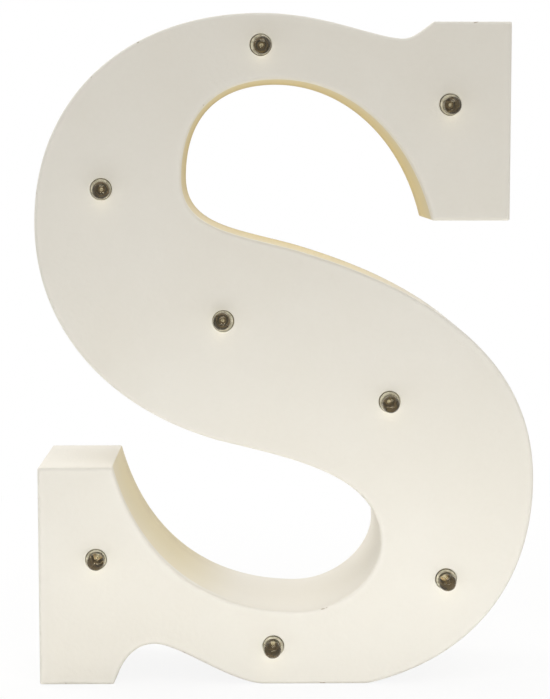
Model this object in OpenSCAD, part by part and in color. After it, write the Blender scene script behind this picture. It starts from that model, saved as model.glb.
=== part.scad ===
/* [Letter] */
// Overall width of the letter
letter_w = 120; // [112:1:128]
// Overall height from the base to the crown
letter_h = 162; // [154:1:172]
// Depth from the front face to the rear rim
letter_d = 37; // [36:0.5:42]

/* [Panels] */
// Thickness of the front panel
front_t = 3; // [2.5:0.1:3.5]
// Thickness of the back panel
back_t = 3; // [2.5:0.1:3.5]
// Thickness of the strips bent round the sides
strip_t = 2.5; // [2:0.1:3]
// How far the back panel sits inside the rear rim
back_recess = 4; // [4:0.1:5]
// Gap all round between the back panel and the strips
panel_gap = 0.2; // [0.1:0.05:0.3]
// Side of the square wooden blocks that carry the back panel
block_w = 7; // [6:0.5:7.5]

/* [Hanging] */
// Diameter of the round mouth of each keyhole
keyhole_d = 8; // [7.5:0.1:8.5]
// Width of the keyhole slots
keyhole_slot = 4.2; // [3.8:0.1:4.4]
// Rise of the slot's round end above the centre of the mouth
keyhole_rise = 8; // [7:0.5:9]

/* [Lights] */
// Diameter of a light's clear body
led_d = 5; // [4.8:0.1:5.2]
// Length of a light's clear body from its rim to the tip of its dome
led_l = 8.6; // [8.2:0.1:9]
// Diameter of the rim at the foot of a light
rim_d = 5.8; // [5.7:0.1:6.2]
// Thickness of that rim
rim_t = 1; // [0.8:0.1:1.2]
// Room round a light in its hole, on the diameter
hole_play = 0.2; // [0.1:0.05:0.3]
// Distance between the two leads of a light
lead_pitch = 2.54; // [2.4:0.02:2.6]
// Side of a square lead
lead_w = 0.5; // [0.4:0.05:0.6]
// Room between the soldered ends of the leads and the tails of the battery contacts
tail_room = 5; // [4:0.1:6]
// Width of the ring of glue round a light's rim
glue_w = 2; // [1.5:0.1:2.5]
// Diameter of the wires
wire_d = 1.2; // [1:0.1:1.3]

/* [Battery] */
// Diameter of a cell
cell_d = 10.5; // [10.3:0.1:10.7]
// Length of a cell over its button
cell_l = 44.5; // [44:0.1:45]
// Wall thickness of the battery case
case_t = 1.2; // [1:0.1:1.4]
// Thickness of the flange of the battery case
flange_t = 1.4; // [1.2:0.1:1.5]
// Thickness of the battery cover
cover_t = 1.7; // [1.6:0.1:1.8]
// How far the battery cover slides to free its tongues
cover_travel = 8; // [7:0.5:9]
// Tilt of the battery case along the spine of the letter, in degrees
case_tilt = 22; // [20:0.5:24]

/* [Switch] */
// Distance between the two switch screws
switch_pitch = 15; // [14.5:0.1:16]
// Travel of the switch knob
knob_travel = 3; // [2:0.1:3.2]
// Length of the knob's stem along its travel
knob_l = 3; // [2.6:0.1:3.2]
// Height of the knob above the switch frame
knob_h = 2.6; // [2:0.1:3]

/* [Screws] */
// Shank diameter of the back panel screws
panel_screw_d = 2.5; // [2.3:0.1:2.7]
// Length of the back panel screws
panel_screw_l = 12; // [11:0.5:14]
// Shank diameter of the case and switch screws
small_screw_d = 2; // [1.8:0.1:2.1]
// Length of the case and switch screws
small_screw_l = 6; // [5.5:0.5:8]

/* [Hidden] */
$fn = 48;

// The letter is drawn 120 wide and 162 high, and stretched to the width and height above
stretch_x = letter_w / 120;
stretch_z = letter_h / 162;
curve_steps = 14;

// How far a cut runs past what it cuts, and the room left in slots, round shanks and at soldered ends
cut = 1;
play = 0.3;
shank_play = 0.05;
solder_gap = 0.15;

// Depths behind the front face, and the place of that face on the Y axis
led_out = led_l - front_t - rim_t;
back_rear = letter_d - back_recess;
back_front = back_rear - back_t;
rim_back = front_t + rim_t;
face_y = led_out - (letter_d + led_out) / 2;

// Corners of the outline, anticlockwise from the outer top corner of the upper serif
upper_out_top = at(53.5, 160);
upper_in_top = at(35, 160);
lower_in_top = at(-42, 53.5);
lower_out_top = at(-60, 53.5);
foot_out = at(-60, 0);
foot_in = at(-42, 0);
base_left = at(-5.5, 0);
base_right = at(20, 0);
upper_in_low = at(35, 113);
upper_out_low = at(53.5, 113);

// Turning points of the curves between those corners, and where two of them leave a short straight
notch_edge = at(33, 158.5);
notch = at(27.5, 156);
crown = at(-6, 162);
left_bowl = at(-60, 112);
spine_under = at(-16, 60);
lower_counter_right = at(23, 35);
lower_counter_floor = at(3, 18);
arch_edge = at(-40.5, 3.5);
arch_top = at(-32, 10);
right_bowl = at(60, 50);
spine_over = at(2, 106);
upper_counter_left = at(-25, 123);
upper_counter_top = at(-2, 146.5);

lower_band_curve = concat(
    [upper_in_top],
    curve(notch_edge, at(31, 157), at(29.5, 156), notch),
    curve(notch, at(20, 156.5), at(9, 162), crown),
    curve(crown, at(-37, 162), at(-60, 143), left_bowl),
    curve(left_bowl, at(-60, 88), at(-44, 68), spine_under),
    curve(spine_under, at(2, 55.5), at(23, 51.5), lower_counter_right),
    curve(lower_counter_right, at(23, 26.5), at(13.5, 18), lower_counter_floor),
    curve(lower_counter_floor, at(-20, 18), at(-36, 31), lower_in_top)
);
arch_curve = concat(
    [foot_in],
    curve(arch_edge, at(-39.3, 6.3), at(-36.5, 10), arch_top),
    curve(arch_top, at(-26, 10), at(-14, 0.5), base_left)
);
upper_band_curve = concat(
    curve(base_right, at(46, 6), at(60, 25), right_bowl),
    curve(right_bowl, at(60, 77), at(40, 95), spine_over),
    curve(spine_over, at(-13, 110), at(-25, 111), upper_counter_left),
    curve(upper_counter_left, at(-25, 138.5), at(-16.5, 146.5), upper_counter_top),
    curve(upper_counter_top, at(15, 146.5), at(30, 133.5), upper_in_low)
);

// The runs of the outline, one for each strip, each without the point that starts the next
runs = [
    [upper_out_top], lower_band_curve, [lower_in_top], [lower_out_top], [foot_out],
    arch_curve, [base_left], upper_band_curve, [upper_in_low], [upper_out_low]
];
UPPER_CAP = 0;
LOWER_BAND = 1;
LOWER_CAP = 2;
LOWER_SIDE = 3;
LOWER_FOOT = 4;
ARCH = 5;
BASE = 6;
UPPER_BAND = 7;
UPPER_SILL = 8;
UPPER_SIDE = 9;
outline = [for (run = runs) each run];
inner_outline = inset(outline, strip_t);
panel_outline = inset(outline, strip_t + panel_gap);

// The wires' route from the upper serif to the lower one, and which of its points hold a light
route = [
    at(39, 140.5), at(28, 148), at(12, 151.5), at(-6, 154.5), at(-27, 150), at(-39, 138), at(-44, 120.5),
    at(-41, 104), at(-30, 94.5), at(-15, 89), at(5, 79.5), at(25, 69.5), at(37, 57), at(41.5, 42),
    at(39, 26), at(29, 15), at(13, 9.5), at(-3, 9.5), at(-19, 13.5), at(-33, 21), at(-46, 31)
];
led_stops = [0, 3, 6, 9, 11, 14, 17, 20];

block_places = [at(45, 121), at(-48, 130), at(-47, 93), at(51, 46), at(-51, 45), at(-51, 9)];
keyhole_places = [at(-40, 134), at(44, 134)];

// Battery bay and its contacts, in a frame along the spine
spine_middle = at(-2, 81);
cell_play = 0.5;
cell_offset = cell_d / 2 + cell_play;
spring_l = 5.5;
spring_wire_r = 0.3;
spring_turns = 4;
spring_steps = 48;
contact_t = 0.4;
contact_w = cell_d - 1;
end_play = 0.1;
bay_l = cell_l + spring_l + 2 * contact_t + 2 * end_play;
bay_w = 2 * (cell_offset + cell_d / 2 + cell_play);
bay_h = cell_d + 0.7;
contact_x = (bay_l - contact_t) / 2;

// Battery case round the bay
case_l = bay_l + 2 * case_t;
case_w = bay_w + 2 * case_t;
flange_rear = back_rear + flange_t;
bay_floor = flange_rear - bay_h;
bay_middle = bay_floor + bay_h / 2;
case_floor = bay_floor - case_t;
case_screw_x = case_l / 2 + 1.9 * small_screw_d;
flange_l = 2 * case_screw_x + 4 * small_screw_d;
tail_w = 3;
tail_l = 3;
tail_end = case_floor - tail_l;

// The lights' leads, cut to length, and the wires soldered to their ends
lead_l = tail_end - tail_room - rim_back;
bus_depth = rim_back + lead_l + solder_gap + wire_d / 2;

// Cover, its tongues and the lips that hold them
cover_lap = 1.2;
cover_w = bay_w + 2 * cover_lap;
cover_l = bay_l + 2 * cover_lap;
cover_front = flange_rear + 0.1;
cover_rear = cover_front + cover_t;
tongue_l = cover_travel - 2;
tongue_w = 1.5;
tongue_t = 0.7;
tongue_x = bay_l * 0.31;
lip_play = 0.25;
lip_t = 1.2;
lip_over = cover_w / 2 + lip_play;
lip_inner = lip_over + tongue_w;
lip_outer = lip_inner + lip_t;
lip_front = cover_front + tongue_t + lip_play;
lip_rear = lip_front + 0.8;
flange_w = 2 * lip_outer + 0.8;

// Switch, in the same frame, with its knob travelling across the spine
switch_x = 46.5;
plate_t = 0.5;
plate_l = switch_pitch + 5;
plate_w = 7;
knob_w = 2.6;
knob_foot_l = knob_l + 2;
knob_foot_w = knob_w + 1.2;
knob_foot_t = 1.5;
well_l = knob_foot_l + knob_travel + 2 * play;
well_w = knob_foot_w + 2 * play;
well_h = knob_foot_t + 2 * play;
housing_t = 0.8;
housing_l = well_l + 2 * housing_t;
housing_w = well_w + 2 * housing_t;
housing_h = 5.5;
housing_front = back_rear - housing_h;
terminal_l = 4;
terminal_w = 1.2;
terminal_t = 0.5;
terminal_pitch = 3;
terminal_end = housing_front - terminal_l;

// Inside of a light, above the foot of its rim
anvil_top = led_l * 0.58;
chip_h = 0.4;

// Screw heads
panel_screw_end = back_rear - panel_screw_l;
sink_play = 0.1;
small_head_r = small_screw_d * 0.95;
small_head_h = 1.2;
recess_h = 0.7;

// Resistor
resistor_l = 6.5;
resistor_r = 1.2;
resistor_lead = 4;
resistor_lead_r = 0.3;

function at(x, z) = [x * stretch_x, z * stretch_z];

function curve(a, b, c, d) = [
    for (i = [0:curve_steps - 1])
        let (t = i / curve_steps, s = 1 - t)
            s * s * s * a + 3 * s * s * t * b + 3 * s * t * t * c + t * t * t * d
];

function unit(v) = v / norm(v);
function left_of(a, b) = let (d = unit(b - a)) [-d[1], d[0]];
function neighbour(points, i, step) = points[(i + step + len(points)) % len(points)];

// Moves each side of a closed anticlockwise outline inwards by a distance
function inset(points, distance) = [
    for (i = [0:len(points) - 1])
        let (
            before = left_of(neighbour(points, i, -1), points[i]),
            after = left_of(points[i], neighbour(points, i, 1))
        )
            points[i] + (before + after) * distance / (1 + before * after)
];

function count_before(k) = k == 0 ? 0 : len(runs[k - 1]) + count_before(k - 1);
function across_route(i) = left_of(route[max(i - 1, 0)], route[min(i + 1, len(route) - 1)]);
function led_turn(k) = let (n = across_route(led_stops[k])) atan2(n[1], n[0]);

// A point in the frame along the spine, given as length, depth behind the face and height
function in_spine(p) = [
    spine_middle[0] + p[0] * cos(case_tilt) + p[2] * sin(case_tilt),
    face_y + p[1],
    spine_middle[1] - p[0] * sin(case_tilt) + p[2] * cos(case_tilt)
];

function bus_route(side) = [
    for (i = [0:len(route) - 1])
        let (p = route[i] + across_route(i) * side * lead_pitch / 2)
            [p[0], face_y + bus_depth, p[1]]
];

function along(points, i) = unit(points[min(i + 1, len(points) - 1)] - points[max(i - 1, 0)]);

// Extrudes a shape drawn in X and Z between two depths behind the front face
module slab(from, to) {
    translate([0, face_y + to, 0]) rotate([90, 0, 0]) linear_extrude(to - from) children();
}

module pin(r, from, to) {
    translate([0, face_y + to, 0]) rotate([90, 0, 0]) cylinder(r = r, h = to - from);
}

// A cone that opens towards the rear, from radius r at the front
module countersink(r, from, to) {
    translate([0, face_y + to, 0]) rotate([90, 0, 0]) cylinder(r1 = r + to - from, r2 = r, h = to - from);
}

// The seat of a countersunk head, with a little room round it
module screw_sink(d, rear) {
    countersink(d / 2, rear - d / 2 - sink_play, rear + sink_play);
}

module driver_cross(r, from, to) {
    arm = 1.3 * r;
    slot = 0.3 * r;
    slab(from, to) {
        square([arm, slot], center = true);
        square([slot, arm], center = true);
    }
}

module sunk_screw(d, end, rear) {
    difference() {
        union() {
            pin(d / 2, end, rear);
            countersink(d / 2, rear - d / 2, rear);
        }
        driver_cross(d, rear - recess_h, rear + cut);
    }
}

module place(p) {
    translate([p[0], 0, p[1]]) children();
}

module on_spine() {
    place(spine_middle) rotate([0, case_tilt, 0]) children();
}

module at_led(k) {
    p = route[led_stops[k]];
    translate([p[0], face_y + rim_back, p[1]]) rotate([90, 0, 0])
        rotate([0, 0, led_turn(k)]) children();
}

// A round tube along points, its rings turned to a direction that the tube never follows
module tube(points, r, sides, reference) {
    count = len(points);
    rings = [
        for (i = [0:count - 1])
            let (
                forward = along(points, i),
                side = unit(cross(forward, reference)),
                up = cross(side, forward)
            )
                for (j = [0:sides - 1])
                    let (turn = 360 * j / sides)
                        points[i] + r * (cos(turn) * side + sin(turn) * up)
    ];
    walls = [
        for (i = [0:count - 2], j = [0:sides - 1])
            let (next = (j + 1) % sides)
                [i * sides + j, i * sides + next, (i + 1) * sides + next, (i + 1) * sides + j]
    ];
    first = [for (j = [sides - 1:-1:0]) j];
    last = [for (j = [0:sides - 1]) (count - 1) * sides + j];
    polyhedron(rings, concat(walls, [first, last]));
}

module wire(points) {
    tube(points, wire_d / 2, 8, [0, 1, 0]);
}

// The front panel and the strips round the sides

module front_panel() {
    color("ivory") difference() {
        slab(0, front_t) polygon(outline);
        for (k = [0:len(led_stops) - 1])
            place(route[led_stops[k]]) pin((led_d + hole_play) / 2, -cut, front_t + cut);
    }
}

module strip(k) {
    first = count_before(k);
    last = first + len(runs[k]);
    outside = [for (i = [first:last]) neighbour(outline, i, 0)];
    inside = [for (i = [last:-1:first]) neighbour(inner_outline, i, 0)];
    color("ivory") slab(front_t, letter_d) polygon(concat(outside, inside));
}

module upper_band() {
    strip(UPPER_BAND);
}

module lower_band() {
    strip(LOWER_BAND);
}

module base_strip() {
    strip(BASE);
}

module arch_strip() {
    strip(ARCH);
}

module upper_serif_cap() {
    strip(UPPER_CAP);
}

module upper_serif_side() {
    strip(UPPER_SIDE);
}

module upper_serif_sill() {
    strip(UPPER_SILL);
}

module lower_serif_cap() {
    strip(LOWER_CAP);
}

module lower_serif_side() {
    strip(LOWER_SIDE);
}

module lower_serif_foot() {
    strip(LOWER_FOOT);
}

// The back panel and what holds it

module keyhole() {
    pin(keyhole_d / 2, back_front - cut, back_rear + cut);
    slab(back_front - cut, back_rear + cut) {
        translate([-keyhole_slot / 2, 0]) square([keyhole_slot, keyhole_rise]);
        translate([0, keyhole_rise]) circle(keyhole_slot / 2);
    }
}

module back_panel() {
    color("ivory") difference() {
        slab(back_front, back_rear) polygon(panel_outline);
        for (p = keyhole_places) place(p) keyhole();
        for (p = block_places) place(p) {
            pin(panel_screw_d / 2 + shank_play, back_front - cut, back_rear + cut);
            screw_sink(panel_screw_d, back_rear);
        }
        on_spine() {
            slab(back_front - cut, back_rear + cut) {
                square([case_l + 2 * play, case_w + 2 * play], center = true);
                translate([switch_x, 0])
                    square([housing_w + 2 * play, housing_l + 2 * play], center = true);
            }
            case_screw_places() pin(small_screw_d / 2 + shank_play, back_front - cut, back_rear + cut);
            switch_screw_places() pin(small_screw_d / 2 + shank_play, back_front - cut, back_rear + cut);
        }
    }
}

module corner_blocks() {
    color("burlywood") for (p = block_places) place(p) difference() {
        slab(front_t, back_front) square(block_w, center = true);
        pin(panel_screw_d / 2 + shank_play, panel_screw_end - play, back_front + cut);
    }
}

module back_panel_screws() {
    color("silver") for (p = block_places) place(p) sunk_screw(panel_screw_d, panel_screw_end, back_rear);
}

// The battery case, its cover, cells and contacts

module case_screw_places() {
    for (side = [-1, 1]) translate([side * case_screw_x, 0, 0]) children();
}

// A lip over one tongue of the cover, on the upper side of the bay
module lip() {
    slab(flange_rear, lip_rear) translate([-tongue_l / 2, lip_inner]) square([tongue_l, lip_t]);
    slab(lip_front, lip_rear) translate([-tongue_l / 2, lip_over]) square([tongue_l, lip_outer - lip_over]);
}

module stop_rib() {
    rib_t = 0.9;
    rib_l = bay_w * 0.66;
    slab(flange_rear, cover_front + cover_t / 2)
        translate([cover_l / 2 + play, -rib_l / 2]) square([rib_t, rib_l]);
}

module battery_case() {
    color("#242424") on_spine() {
        difference() {
            union() {
                slab(back_rear, flange_rear) square([flange_l, flange_w], center = true);
                slab(case_floor, flange_rear) square([case_l, case_w], center = true);
            }
            slab(bay_floor, flange_rear + cut) square([bay_l, bay_w], center = true);
            for (z = [-cell_offset, cell_offset])
                slab(case_floor - cut, bay_floor + cut)
                    translate([-contact_x, z]) square([contact_t + play, tail_w + play], center = true);
            case_screw_places() {
                pin(small_screw_d / 2 + shank_play, back_rear - cut, flange_rear + cut);
                screw_sink(small_screw_d, flange_rear);
            }
        }
        for (side = [0, 1], x = [-tongue_x, tongue_x])
            translate([x, 0, 0]) mirror([0, 0, side]) lip();
        stop_rib();
    }
}

module battery_cover() {
    ridges = 5;
    ridge_w = 0.9;
    ridge_l = bay_w * 0.55;
    ridge_step = 2;
    ridge_rise = 0.4;
    first_ridge = 5 - cover_l / 2;
    color("#2c2c2c") on_spine() {
        slab(cover_front, cover_rear) square([cover_l, cover_w], center = true);
        for (x = [-tongue_x, tongue_x])
            slab(cover_front, cover_front + tongue_t)
                translate([x, 0]) square([tongue_l, cover_w + 2 * tongue_w], center = true);
        for (i = [0:ridges - 1])
            slab(cover_rear, cover_rear + ridge_rise)
                translate([first_ridge + i * ridge_step, 0]) square([ridge_w, ridge_l], center = true);
    }
}

// A cell along the spine, its button towards the given end
module cell(z, end) {
    button_l = 0.8;
    button_r = cell_d * 0.18;
    start = end * (bay_l / 2 - contact_t - end_play);
    translate([start, face_y + bay_middle, z]) rotate([0, -90 * end, 0]) {
        cylinder(r = button_r, h = button_l);
        translate([0, 0, button_l]) cylinder(r = cell_d / 2, h = cell_l - button_l);
    }
}

module battery_cell_upper() {
    color("goldenrod") on_spine() cell(cell_offset, 1);
}

module battery_cell_lower() {
    color("goldenrod") on_spine() cell(-cell_offset, -1);
}

// A spring that narrows from a contact at the given end to the flat foot of a cell
function spring_points(z, end) = [
    for (i = [0:spring_steps])
        let (
            t = i / spring_steps,
            r = cell_d * (0.34 - 0.12 * t),
            turn = 360 * spring_turns * t,
            x = bay_l / 2 - contact_t - end_play - spring_wire_r - t * (spring_l - 2 * spring_wire_r)
        )
            [end * x, face_y + bay_middle + r * sin(turn), z + r * cos(turn)]
];

module contact_springs() {
    color("silver") on_spine() {
        tube(spring_points(cell_offset, -1), spring_wire_r, 6, [1, 0, 0]);
        tube(spring_points(-cell_offset, 1), spring_wire_r, 6, [1, 0, 0]);
    }
}

module contact_plate(x, z, width) {
    slab(bay_floor, bay_floor + contact_w)
        translate([x, z]) square([contact_t, width], center = true);
}

module tail(z) {
    slab(tail_end, bay_floor) translate([-contact_x, z]) square([contact_t, tail_w], center = true);
}

module negative_contact() {
    color("gainsboro") on_spine() {
        contact_plate(-contact_x, cell_offset, contact_w);
        tail(cell_offset);
    }
}

module positive_contact() {
    color("gainsboro") on_spine() {
        contact_plate(-contact_x, -cell_offset, contact_w);
        tail(-cell_offset);
    }
}

module bridge_contact() {
    color("gainsboro") on_spine() contact_plate(contact_x, 0, 2 * cell_offset + contact_w);
}

module case_screws() {
    color("silver") on_spine() case_screw_places()
        sunk_screw(small_screw_d, flange_rear - small_screw_l, flange_rear);
}

// The slide switch

module on_switch() {
    on_spine() translate([switch_x, 0, 0]) children();
}

module switch_screw_places() {
    for (side = [-1, 1]) translate([switch_x, 0, side * switch_pitch / 2]) children();
}

module switch_housing() {
    color("#3a2a1e") on_switch() difference() {
        slab(housing_front, back_rear) square([housing_w, housing_l], center = true);
        slab(back_rear - well_h, back_rear + cut) square([well_w, well_l], center = true);
    }
}

module switch_frame() {
    color("silver") difference() {
        on_switch() slab(back_rear, back_rear + plate_t) difference() {
            square([plate_w, plate_l], center = true);
            square([knob_w + 2 * play, knob_l + knob_travel + 2 * play], center = true);
        }
        on_spine() switch_screw_places()
            pin(small_screw_d / 2 + play, back_rear - cut, back_rear + plate_t + cut);
    }
}

module switch_knob() {
    foot_front = back_rear - play - knob_foot_t;
    color("#1a1a1a") on_switch() translate([0, 0, -knob_travel / 2]) {
        slab(foot_front, foot_front + knob_foot_t) square([knob_foot_w, knob_foot_l], center = true);
        slab(foot_front + knob_foot_t, back_rear + plate_t + knob_h) square([knob_w, knob_l], center = true);
    }
}

module switch_terminals() {
    color("gainsboro") on_switch() for (i = [-1:1])
        slab(terminal_end, housing_front)
            translate([0, i * terminal_pitch]) square([terminal_t, terminal_w], center = true);
}

module switch_screws() {
    seat = back_rear + plate_t;
    color("silver") on_spine() switch_screw_places() difference() {
        union() {
            pin(small_screw_d / 2, seat - small_screw_l, seat);
            pin(small_head_r, seat, seat + small_head_h);
        }
        driver_cross(small_head_r, seat + small_head_h - recess_h, seat + small_head_h + cut);
    }
}

// The lights, drawn with the dome upwards from the foot of the rim

module anode_shape() {
    post_top = led_l * 0.6;
    flag_h = 1.5;
    inner = lead_pitch / 2 - lead_w / 2;
    translate([inner, -lead_w / 2, -lead_l]) cube([lead_w, lead_w, lead_l + post_top]);
    translate([inner - lead_w / 2, -lead_w / 2, post_top - flag_h]) cube([lead_w, lead_w, flag_h]);
}

module cathode_shape() {
    anvil_l = 1.6;
    anvil_h = 2.2;
    outer = -lead_pitch / 2 - lead_w / 2;
    translate([outer, -lead_w / 2, -lead_l]) cube([lead_w, lead_w, lead_l + anvil_top]);
    translate([outer, -lead_w / 2, anvil_top - anvil_h]) cube([anvil_l, lead_w, anvil_h]);
}

module chip_shape() {
    translate([-lead_pitch / 4, 0, anvil_top]) cylinder(d = lead_w, h = chip_h);
}

module led_lens(k) {
    r = led_d / 2;
    color("gainsboro", 0.5) at_led(k) difference() {
        union() {
            intersection() {
                cylinder(d = rim_d, h = rim_t);
                translate([-r, -rim_d, -cut]) cube([2 * rim_d, 2 * rim_d, rim_t + 2 * cut]);
            }
            cylinder(r = r, h = led_l - r);
            translate([0, 0, led_l - r]) sphere(r = r);
        }
        anode_shape();
        cathode_shape();
        chip_shape();
    }
}

module led_anodes() {
    color("silver") for (k = [0:len(led_stops) - 1]) at_led(k) anode_shape();
}

module led_cathodes() {
    color("silver") for (k = [0:len(led_stops) - 1]) at_led(k) cathode_shape();
}

module led_chips() {
    color("khaki") for (k = [0:len(led_stops) - 1]) at_led(k) chip_shape();
}

module led_glue() {
    inside = rim_d / 2 + shank_play;
    glue_foot = -0.6;
    color("beige") for (k = [0:len(led_stops) - 1]) at_led(k)
        rotate_extrude() polygon([
            [inside, rim_t], [inside + glue_w, rim_t], [inside + glue_w / 2, glue_foot], [inside, glue_foot]
        ]);
}

// The wires and the resistor

// Each route is in the frame along the spine: length, depth behind the face and height
tail_joint = tail_end - solder_gap - wire_d / 2;
terminal_joint = terminal_end - solder_gap - wire_d / 2;
bus_joint = bus_depth + wire_d + solder_gap;
side_run = cell_offset + 3;
resistor_depth = terminal_end - solder_gap - resistor_lead_r;
resistor_end = switch_x + terminal_t;
resistor_start = resistor_end - resistor_l - 2 * resistor_lead;
red_route = [
    [-contact_x, tail_joint, -cell_offset],
    [-14, tail_joint, -side_run],
    [16, tail_joint, -side_run],
    [36, tail_joint, -cell_offset - 1],
    [switch_x, terminal_joint, -terminal_pitch]
];
black_route = [
    [-contact_x, tail_joint, cell_offset],
    [4 - contact_x, tail_joint - 1, cell_offset - 0.5],
    [-16, bus_joint, 1.5]
];
feed_route = [
    [resistor_start + 0.5, resistor_depth - resistor_lead_r - solder_gap - wire_d / 2, 0],
    [resistor_start - 1, resistor_depth - 3, 0.3],
    [resistor_start - 2, bus_joint + 0.5, 0.8],
    [29, bus_joint, 0.8]
];

module positive_bus_wire() {
    color("firebrick") wire(bus_route(1));
}

module negative_bus_wire() {
    color("#202020") wire(bus_route(-1));
}

module battery_red_wire() {
    color("firebrick") wire([for (p = red_route) in_spine(p)]);
}

module battery_black_wire() {
    color("#202020") wire([for (p = black_route) in_spine(p)]);
}

module feed_wire() {
    color("firebrick") wire([for (p = feed_route) in_spine(p)]);
}

module resistor() {
    length = resistor_end - resistor_start;
    color("tan") on_spine() translate([resistor_start, face_y + resistor_depth, 0]) rotate([0, 90, 0]) {
        cylinder(r = resistor_lead_r, h = length);
        translate([0, 0, resistor_lead]) cylinder(r = resistor_r, h = resistor_l);
    }
}

front_panel();
upper_band();
lower_band();
base_strip();
arch_strip();
upper_serif_cap();
upper_serif_side();
upper_serif_sill();
lower_serif_cap();
lower_serif_side();
lower_serif_foot();
back_panel();
corner_blocks();
back_panel_screws();
battery_case();
battery_cover();
battery_cell_upper();
battery_cell_lower();
contact_springs();
negative_contact();
positive_contact();
bridge_contact();
case_screws();
switch_housing();
switch_frame();
switch_knob();
switch_terminals();
switch_screws();
led_lens(0);  // led_lens_1
led_lens(1);  // led_lens_2
led_lens(2);  // led_lens_3
led_lens(3);  // led_lens_4
led_lens(4);  // led_lens_5
led_lens(5);  // led_lens_6
led_lens(6);  // led_lens_7
led_lens(7);  // led_lens_8
led_anodes();
led_cathodes();
led_chips();
led_glue();
positive_bus_wire();
negative_bus_wire();
battery_red_wire();
battery_black_wire();
feed_wire();
resistor();
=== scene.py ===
"""Letter lamp: board, paint, clear lights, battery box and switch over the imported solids."""

import logging
import math
from collections.abc import Iterable, Sequence
from dataclasses import dataclass
from enum import Enum
from typing import Protocol

import bmesh
import bpy
import numpy as np
from mathutils import Euler, Matrix, Vector
from mathutils.geometry import delaunay_2d_cdt


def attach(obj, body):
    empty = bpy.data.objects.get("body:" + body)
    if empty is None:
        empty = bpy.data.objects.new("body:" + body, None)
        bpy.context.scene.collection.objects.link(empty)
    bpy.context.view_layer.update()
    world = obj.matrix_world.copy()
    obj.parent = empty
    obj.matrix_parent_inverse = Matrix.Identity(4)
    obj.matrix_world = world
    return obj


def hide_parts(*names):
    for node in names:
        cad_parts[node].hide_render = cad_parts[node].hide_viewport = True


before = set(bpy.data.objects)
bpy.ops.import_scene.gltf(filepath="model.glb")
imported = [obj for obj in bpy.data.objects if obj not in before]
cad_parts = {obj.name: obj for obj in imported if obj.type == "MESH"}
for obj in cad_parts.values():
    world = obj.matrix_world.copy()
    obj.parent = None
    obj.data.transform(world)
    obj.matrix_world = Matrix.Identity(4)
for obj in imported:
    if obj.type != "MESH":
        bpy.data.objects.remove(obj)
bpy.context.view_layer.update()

LOG = logging.getLogger("letter_lamp")

Point = tuple[float, float]
Place = tuple[float, float, float]
Colour = tuple[float, float, float]
Profile = Sequence[tuple[float, float, float, float]]
Settings = dict[str, object]

# Lengths are in millimetres until a mesh is finished, and those of the studio in metres.
MM = 0.001
WHITE = (1.0, 1.0, 1.0)
FACE_Y = -16.2
SPINE_TILT = math.radians(22)
SPINE_MIDDLE = (-2.0, 81.0)
SPINE = Matrix.Translation((SPINE_MIDDLE[0], FACE_Y, SPINE_MIDDLE[1])) @ Matrix.Rotation(SPINE_TILT, 4, "Y")
TO_REAR = Matrix.Rotation(math.radians(-90), 4, "X")
# Along the spine, from its middle
CASE_SCREW_X = 30.5
SWITCH_X = 46.5
SWITCH_PITCH = 15.0


class Body(Enum):
    """The three bodies that pieces ride on."""

    LETTER = "letter"
    COVER = "battery_cover"
    KNOB = "switch_knob"


class Slot(Enum):
    """The record's finishes."""

    PAINTED_FACE = "painted_face"
    PAINTED_SIDE = "painted_side"
    PAINTED_BACK = "painted_back"
    BARE_WOOD = "bare_wood"
    SCREW_STEEL = "screw_steel"
    CASE_PLASTIC = "case_plastic"
    COVER_PLASTIC = "cover_plastic"
    CELL_JACKET = "cell_jacket"
    SPRING_STEEL = "spring_steel"
    PLATED_CONTACT = "plated_contact"
    SWITCH_BODY = "switch_body"
    SWITCH_STEEL = "switch_steel"
    KNOB_PLASTIC = "knob_plastic"
    CLEAR_EPOXY = "clear_epoxy"
    LEAD_WIRE = "lead_wire"
    PHOSPHOR = "phosphor"
    HOT_GLUE = "hot_glue"
    RED_INSULATION = "red_insulation"
    BLACK_INSULATION = "black_insulation"
    RESISTOR_LACQUER = "resistor_lacquer"


# Shader nodes

PRINCIPLED = "ShaderNodeBsdfPrincipled"


class Tone:
    """One output of a finish's nodes, for use in Python expressions."""

    def __init__(self, mixture: "Mixture", socket: bpy.types.NodeSocket) -> None:
        """Keeps the output and the mixture that it belongs to."""
        self.mixture = mixture
        self.socket = socket

    def __add__(self, other: "Tone | float") -> "Tone":
        """Adds two values."""
        return self.mixture.math("ADD", self, other)

    def __radd__(self, other: float) -> "Tone":
        """Adds a value to a number."""
        return self.mixture.math("ADD", other, self)

    def __sub__(self, other: "Tone | float") -> "Tone":
        """Subtracts a value."""
        return self.mixture.math("SUBTRACT", self, other)

    def __rsub__(self, other: float) -> "Tone":
        """Subtracts a value from a number."""
        return self.mixture.math("SUBTRACT", other, self)

    def __mul__(self, other: "Tone | float") -> "Tone":
        """Multiplies two values."""
        return self.mixture.math("MULTIPLY", self, other)

    def above(self, other: "Tone | float") -> "Tone":
        """Gives 1 where this value is the greater one."""
        return self.mixture.math("GREATER_THAN", self, other)

    def most(self, other: "Tone | float") -> "Tone":
        """Gives the greater of two values."""
        return self.mixture.math("MAXIMUM", self, other)

    def smooth(self, low: float, high: float) -> "Tone":
        """Eases from 0 at one value to 1 at another.

        Args:
            low: where the result is 0.
            high: where the result is 1.

        Returns:
            The eased value.
        """
        sockets = {"Value": self, "From Min": low, "From Max": high}
        return self.mixture.node("ShaderNodeMapRange", {"interpolation_type": "SMOOTHSTEP"}, sockets)


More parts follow.
